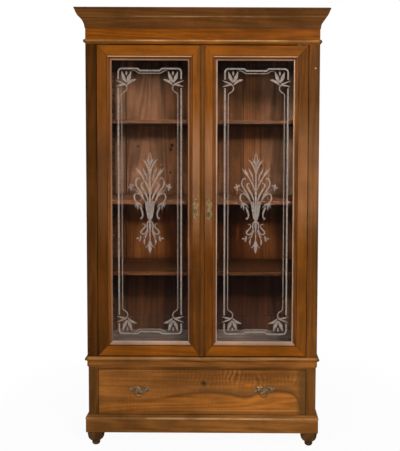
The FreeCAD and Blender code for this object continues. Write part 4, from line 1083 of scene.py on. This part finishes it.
# A pull plate's thickness, its scalloped upper and lower edges from its middle out, and the ornament of
# its right half, in mm
PULL_THICK = 2.5
PULL_TOP = ((0, 8), (8, 14), (16, 19), (26, 15.5), (34, 19), (43, 12), (51, 14), (59, 4.5))
PULL_FOOT = ((0, -22), (6, -16), (14, -20), (26, -14), (34, -6), (44, -8), (53, -4), (59, 3.5))
PULL_ORNAMENT = (
    (((2, 6), (8, 11.5), (16, 16), (26, 12.8), (34, 15.8), (43, 9.5), (51, 11), (57, 4)),
     (1.2, 1.8, 2, 1.8, 2, 1.8, 1.8, 1), 1.4),
    (((2, -18), (7, -13.5), (14, -16.6), (24, -11.5), (32, -4), (43, -5.6), (53, -1)),
     (1.2, 1.8, 2, 1.8, 1.8, 1.8, 1), 1.4),
    (((6, 3), (10, 9), (16, 11), (20, 7), (16, 3), (13, 6)), (1.2, 2.2, 2.6, 2.2, 1.6, 1.0), 1.6),
    (((38, 2), (43, 6), (49, 5), (46, 1.5)), (1.2, 2.4, 2.0, 1.0), 1.5),
    (((4, -8), (10, -12), (17, -12), (20, -7), (15, -5)), (1.0, 2.2, 2.2, 1.8, 1.0), 1.4),
)
# Where a pull's posts stand from its plate's middle, and how they and their rosettes are turned
PULL_POST_HALF, PULL_POST_UP = 30, 4
ROSETTE = ((8.4, -SUNK), (8.4, 0.7), (7.2, 1.3), (6.4, 0.8), (5.7, 0.8))
POST_SHAPE = ((5.5, -SUNK), (5.5, 8.4), (5.2, 9.6), (4.2, 10.3), (2.6, 10.5))
# The drawer's keyhole and the two beads turned round it
KEYHOLE = (8.0, 329.5)
KEYHOLE_BEADS = (((13.6, -SUNK), (13.6, 0.5), (12.6, 0.9), (11.6, 0.5), (10.8, 0.2), (10.8, -SUNK)),
                 ((6.6, -SUNK), (6.6, 0.5), (5.8, 0.8), (5.0, 0.4), (5.0, -SUNK)))


def box_in_mm(node):
    """The low corner, the high corner and the middle of a CAD piece, in mm."""
    low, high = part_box(node)
    return low / MM, high / MM, (low + high) / 2 / MM


PLATE_FACE = box_in_mm("right_door_escutcheon")[0].y
_, PULL_HIGH, PULL_MIDDLE = box_in_mm("drawer_pull_plates")
PULL_ACROSS = box_in_mm("drawer_right_bail")[2].x
PULL_FACE = box_in_mm("drawer_front")[0].y - PULL_THICK


def decorate_escutcheon(body):
    """Scrolls in all four quarters of a door's keyhole plate."""
    middle = box_in_mm(body + "_escutcheon")[2]
    relief = Relief((middle.x, middle.z), PLATE_FACE)
    for points, widths, rise in ESCUTCHEON_ORNAMENT:
        relief.scroll(points, widths, rise, FOUR)
    relief.finish(body + "_escutcheon_ornament", body, BRASS)


def make_pulls():
    """Both pull plates with their scrolls, rosettes and the posts that hold the bails."""
    relief = Relief(None, PULL_FACE)
    for side in (1, -1):
        relief.middle = (side * PULL_ACROSS, PULL_MIDDLE.z)
        relief.plate(PULL_TOP, PULL_FOOT, PULL_THICK)
        for points, widths, rise in PULL_ORNAMENT:
            relief.scroll(points, widths, rise, BOTH)
        for end in (PULL_POST_HALF, -PULL_POST_HALF):
            for profile in (ROSETTE, POST_SHAPE):
                relief.boss((end, PULL_POST_UP), profile)
    relief.finish("drawer_pulls", "drawer", BRASS, ("drawer_pull_plates",))


def decorate_keyhole():
    """Two turned beads round the drawer's keyhole."""
    relief = Relief(KEYHOLE, box_in_mm("drawer_lock")[0].y)
    for profile in KEYHOLE_BEADS:
        relief.boss((0, 0), profile)
    relief.finish("drawer_keyhole_beads", "drawer", DULL_BRASS)


for door in DOORS:
    decorate_escutcheon(door)
make_pulls()
decorate_keyhole()


def make_screws():
    """Geometry nodes that set a slotted, turned screw head on every point, each turned its own way."""
    tree = bpy.data.node_groups.new("slotted screws", "GeometryNodeTree")
    for label, kind in (("Geometry", "Geometry"), ("Radius", "Float"), ("Rise", "Float"), ("Slot", "Float"),
                        ("Tilt", "Float"), ("Material", "Material")):
        tree.interface.new_socket(label, in_out="INPUT", socket_type="NodeSocket" + kind)
    tree.interface.new_socket("Geometry", in_out="OUTPUT", socket_type="NodeSocketGeometry")
    sheet = Sheet(tree)
    given = tree.nodes.new("NodeGroupInput").outputs
    rise = given["Rise"]
    head = sheet.node("GeometryNodeMeshCylinder", {
        "Vertices": 24, "Radius": given["Radius"], "Depth": sheet.times(rise, 2.0)})
    cutter = sheet.node("GeometryNodeMeshCube", {
        "Size": sheet.vector(sheet.times(given["Radius"], 3.0), given["Slot"], rise)})
    lifted = sheet.node("GeometryNodeTransform", {
        "Geometry": cutter.outputs["Mesh"], "Translation": sheet.vector(z=sheet.times(rise, 1.1))})
    slotted = sheet.node("GeometryNodeMeshBoolean", {
        "Mesh 1": head.outputs["Mesh"], "Mesh 2": lifted.outputs["Geometry"]}, operation="DIFFERENCE")
    turn = sheet.node("FunctionNodeRandomValue", {2: 0.0, 3: pi, "Seed": 7}, data_type="FLOAT")
    turned = sheet.node("FunctionNodeRotateRotation", {
        "Rotation": sheet.vector(given["Tilt"]), "Rotate By": sheet.vector(z=turn.outputs[1])},
        rotation_space="LOCAL")
    placed = sheet.node("GeometryNodeInstanceOnPoints", {
        "Points": given["Geometry"], "Instance": slotted.outputs["Mesh"],
        "Rotation": turned.outputs["Rotation"]})
    real = sheet.node("GeometryNodeRealizeInstances", {"Geometry": placed.outputs["Instances"]})
    named = sheet.node("GeometryNodeSetMaterial", {
        "Geometry": real.outputs["Geometry"], "Material": given["Material"]})
    sheet.fill(tree.nodes.new("NodeGroupOutput"), {0: named.outputs["Geometry"]})
    return tree


SCREWS = make_screws()
# How far the fittings' screws and pins stand in from their plates' edges, in mm
SCREW_IN = 4.5
PULL_PIN_IN = 7


def set_screws(name, body, spots, facing, radius, rise, slot, material):
    """Screw heads at the spots (in mm), their faces towards +Y or -Y."""
    points = bmesh.new()
    for spot in spots:
        points.verts.new([part * MM for part in spot])
    thing = new_thing(name, mesh_of(name, points))
    step = thing.modifiers.new("screws", "NODES")
    step.node_group = SCREWS
    wanted = {"Radius": radius * MM, "Rise": rise * MM, "Slot": slot * MM, "Tilt": -facing * pi / 2,
              "Material": material}
    for socket in SCREWS.interface.items_tree:
        if socket.in_out == "INPUT" and socket.name in wanted:
            step[socket.identifier] = wanted[socket.name]
    shown = thing.evaluated_get(bpy.context.evaluated_depsgraph_get())
    baked = bpy.data.meshes.new_from_object(shown)
    bpy.data.objects.remove(thing)
    link(name, baked, material, body)


def fit_screws():
    """The lock's four screws, and the pins in the escutcheons and pull plates."""
    low, high, _ = box_in_mm("door_lock")
    spots = [(x, high.y, z) for x in (low.x + SCREW_IN, high.x - SCREW_IN)
             for z in (low.z + SCREW_IN, high.z - SCREW_IN)]
    set_screws("right_door_lock_screws", "right_door", spots, 1, radius=2.6, rise=0.5, slot=0.7,
               material=IRON)
    for door in DOORS:
        low, high, middle = box_in_mm(door + "_escutcheon")
        pins = [(middle.x, PLATE_FACE, z) for z in (low.z + SCREW_IN, high.z - SCREW_IN)]
        set_screws(door + "_escutcheon_pins", door, pins, -1, radius=1.5, rise=0.5, slot=0.35,
                   material=BRASS)
    outer = PULL_HIGH.x - PULL_PIN_IN
    pins = [(side * x, PULL_FACE, PULL_MIDDLE.z + SCREW_IN)
            for side in (1, -1) for x in (outer, 2 * PULL_ACROSS - outer)]
    set_screws("drawer_pull_pins", "drawer", pins, -1, radius=1.4, rise=0.7, slot=0.35, material=BRASS)


fit_screws()

# Half the floor's width, and how far from the cabinet its shadow still shows faintly, in metres
FLOOR_HALF = 30.0
SHADOW_FADES = (0.8, 1.8)


def seen_by_eye(sheet, path):
    """1 for what the camera sees straight or through the panes, 0 for light on its way round the room."""
    bounced = sheet.plus(path["Diffuse Depth"], path["Glossy Depth"])
    through = sheet.times(path["Is Transmission Ray"], sheet.over(0.5, bounced))
    return sheet.plus(path["Is Camera Ray"], through, clamp=True)


def make_floor():
    """A pale floor that shows near white to the camera and keeps the cabinet's shadow."""
    shape = bmesh.new()
    shape.faces.new([shape.verts.new((x * FLOOR_HALF, y * FLOOR_HALF, 0))
                     for x, y in ((-1, -1), (1, -1), (1, 1), (-1, 1))])
    floor = new_thing("floor", mesh_of("floor", shape))
    material, sheet, shader, where = new_material("pale floor")
    path = sheet.node("ShaderNodeLightPath").outputs
    pale = sheet.mixed(sheet.noise(where, 1.5, 4.0, 0.6), (0.80, 0.80, 0.79, 1), (0.84, 0.84, 0.84, 1))
    mirrored = sheet.times(path["Is Glossy Ray"], 0.8)
    sheet.fill(shader, {"Base Color": sheet.mixed(mirrored, pale, (0.05, 0.05, 0.05, 1)), "Roughness": 0.8,
                        "Specular IOR Level": 0.1})
    x, y, z = sheet.parts(where)
    share = sheet.between(sheet.length(sheet.vector(x, y)), *SHADOW_FADES, 0.95, 1.0)
    sheet.surface(sheet.times(seen_by_eye(sheet, path), share), shader, sheet.node("ShaderNodeEmission"))
    floor.data.materials.append(material)


def make_world():
    """White backdrop for the camera, a dimmer soft room for the light that reaches the cabinet."""
    world = bpy.data.worlds.new("studio")
    bpy.context.scene.world = world
    world.use_nodes = True
    sheet = Sheet(world.node_tree)
    path = sheet.node("ShaderNodeLightPath").outputs
    x, y, z = sheet.parts(sheet.node("ShaderNodeTexCoord").outputs["Generated"])
    glossy = sheet.times(path["Is Glossy Ray"], sheet.between(y, -0.2, 0.6, 0.03, 0.6))
    soft = sheet.times(sheet.less(1.0, path["Is Glossy Ray"]), 0.13)
    strength = sheet.math("MAXIMUM", sheet.plus(glossy, soft), seen_by_eye(sheet, path))
    sheet.fill(world.node_tree.nodes["Background"], {"Color": (1.0, 1.0, 1.0, 1.0), "Strength": strength})


def make_lamp(name, place, aim, size, power, mirrored=True):
    """A square of soft light; mirrored=False keeps its bare image out of the panes."""
    data = bpy.data.lights.new(name, "AREA")
    data.shape = "RECTANGLE"
    data.size, data.size_y = size
    data.energy = power
    lamp = new_thing(name, data)
    lamp.location = place
    lamp.visible_glossy = lamp.visible_transmission = mirrored
    lamp.rotation_mode = "QUATERNION"
    lamp.rotation_quaternion = (Vector(aim) - Vector(place)).to_track_quat("-Z", "Y")


# The camera, as found from the photograph's own lines; its turns are in degrees
PHOTO_HEIGHT = 451
FOCAL_IN_PIXELS = 641.4
SENSOR = 36.0
CAMERA_PLACE = (168.3 * MM, -3397.0 * MM, 1552.0 * MM)
CAMERA_TURN_RIGHT = -0.188
CAMERA_TILT_UP = -2.905
CAMERA_ROLL = 0.244
PICTURE_MOVED_RIGHT = 34
PICTURE_MOVED_UP = 50


def make_camera():
    data = bpy.data.cameras.new("camera")
    camera = new_thing("camera", data)
    data.sensor_width = SENSOR
    data.lens = SENSOR * FOCAL_IN_PIXELS / PHOTO_HEIGHT
    data.shift_x = -PICTURE_MOVED_RIGHT / PHOTO_HEIGHT
    data.shift_y = -PICTURE_MOVED_UP / PHOTO_HEIGHT
    turn = Matrix.Rotation(radians(-CAMERA_TURN_RIGHT), 4, "Z")
    tilt = Matrix.Rotation(radians(90 + CAMERA_TILT_UP), 4, "X")
    roll = Matrix.Rotation(radians(CAMERA_ROLL), 4, "Z")
    camera.matrix_world = Matrix.Translation(CAMERA_PLACE) @ turn @ tilt @ roll
    bpy.context.scene.camera = camera


make_floor()
make_world()
make_lamp("right key", (0.95, -2.45, 2.15), (0.0, 0.0, 1.2), (0.22, 0.22), 46)
make_lamp("left key", (-0.75, -2.45, 2.15), (0.0, 0.0, 1.2), (0.22, 0.22), 27, mirrored=False)
make_lamp("fill", (2.4, -3.6, 1.9), (0.0, 0.0, 1.0), (1.6, 2.0), 14, mirrored=False)
make_lamp("left fill", (-2.0, -3.4, 1.0), (-0.3, 0.0, 0.3), (1.2, 1.2), 6)
make_lamp("left back fill", (-2.6, 1.3, 1.7), (0.0, 0.0, 1.1), (1.4, 1.8), 22, mirrored=False)
make_lamp("right back fill", (2.0, 2.6, 1.7), (0.0, 0.0, 1.1), (1.4, 1.8), 22, mirrored=False)
make_camera()
bpy.context.scene.view_settings.view_transform = "Standard"
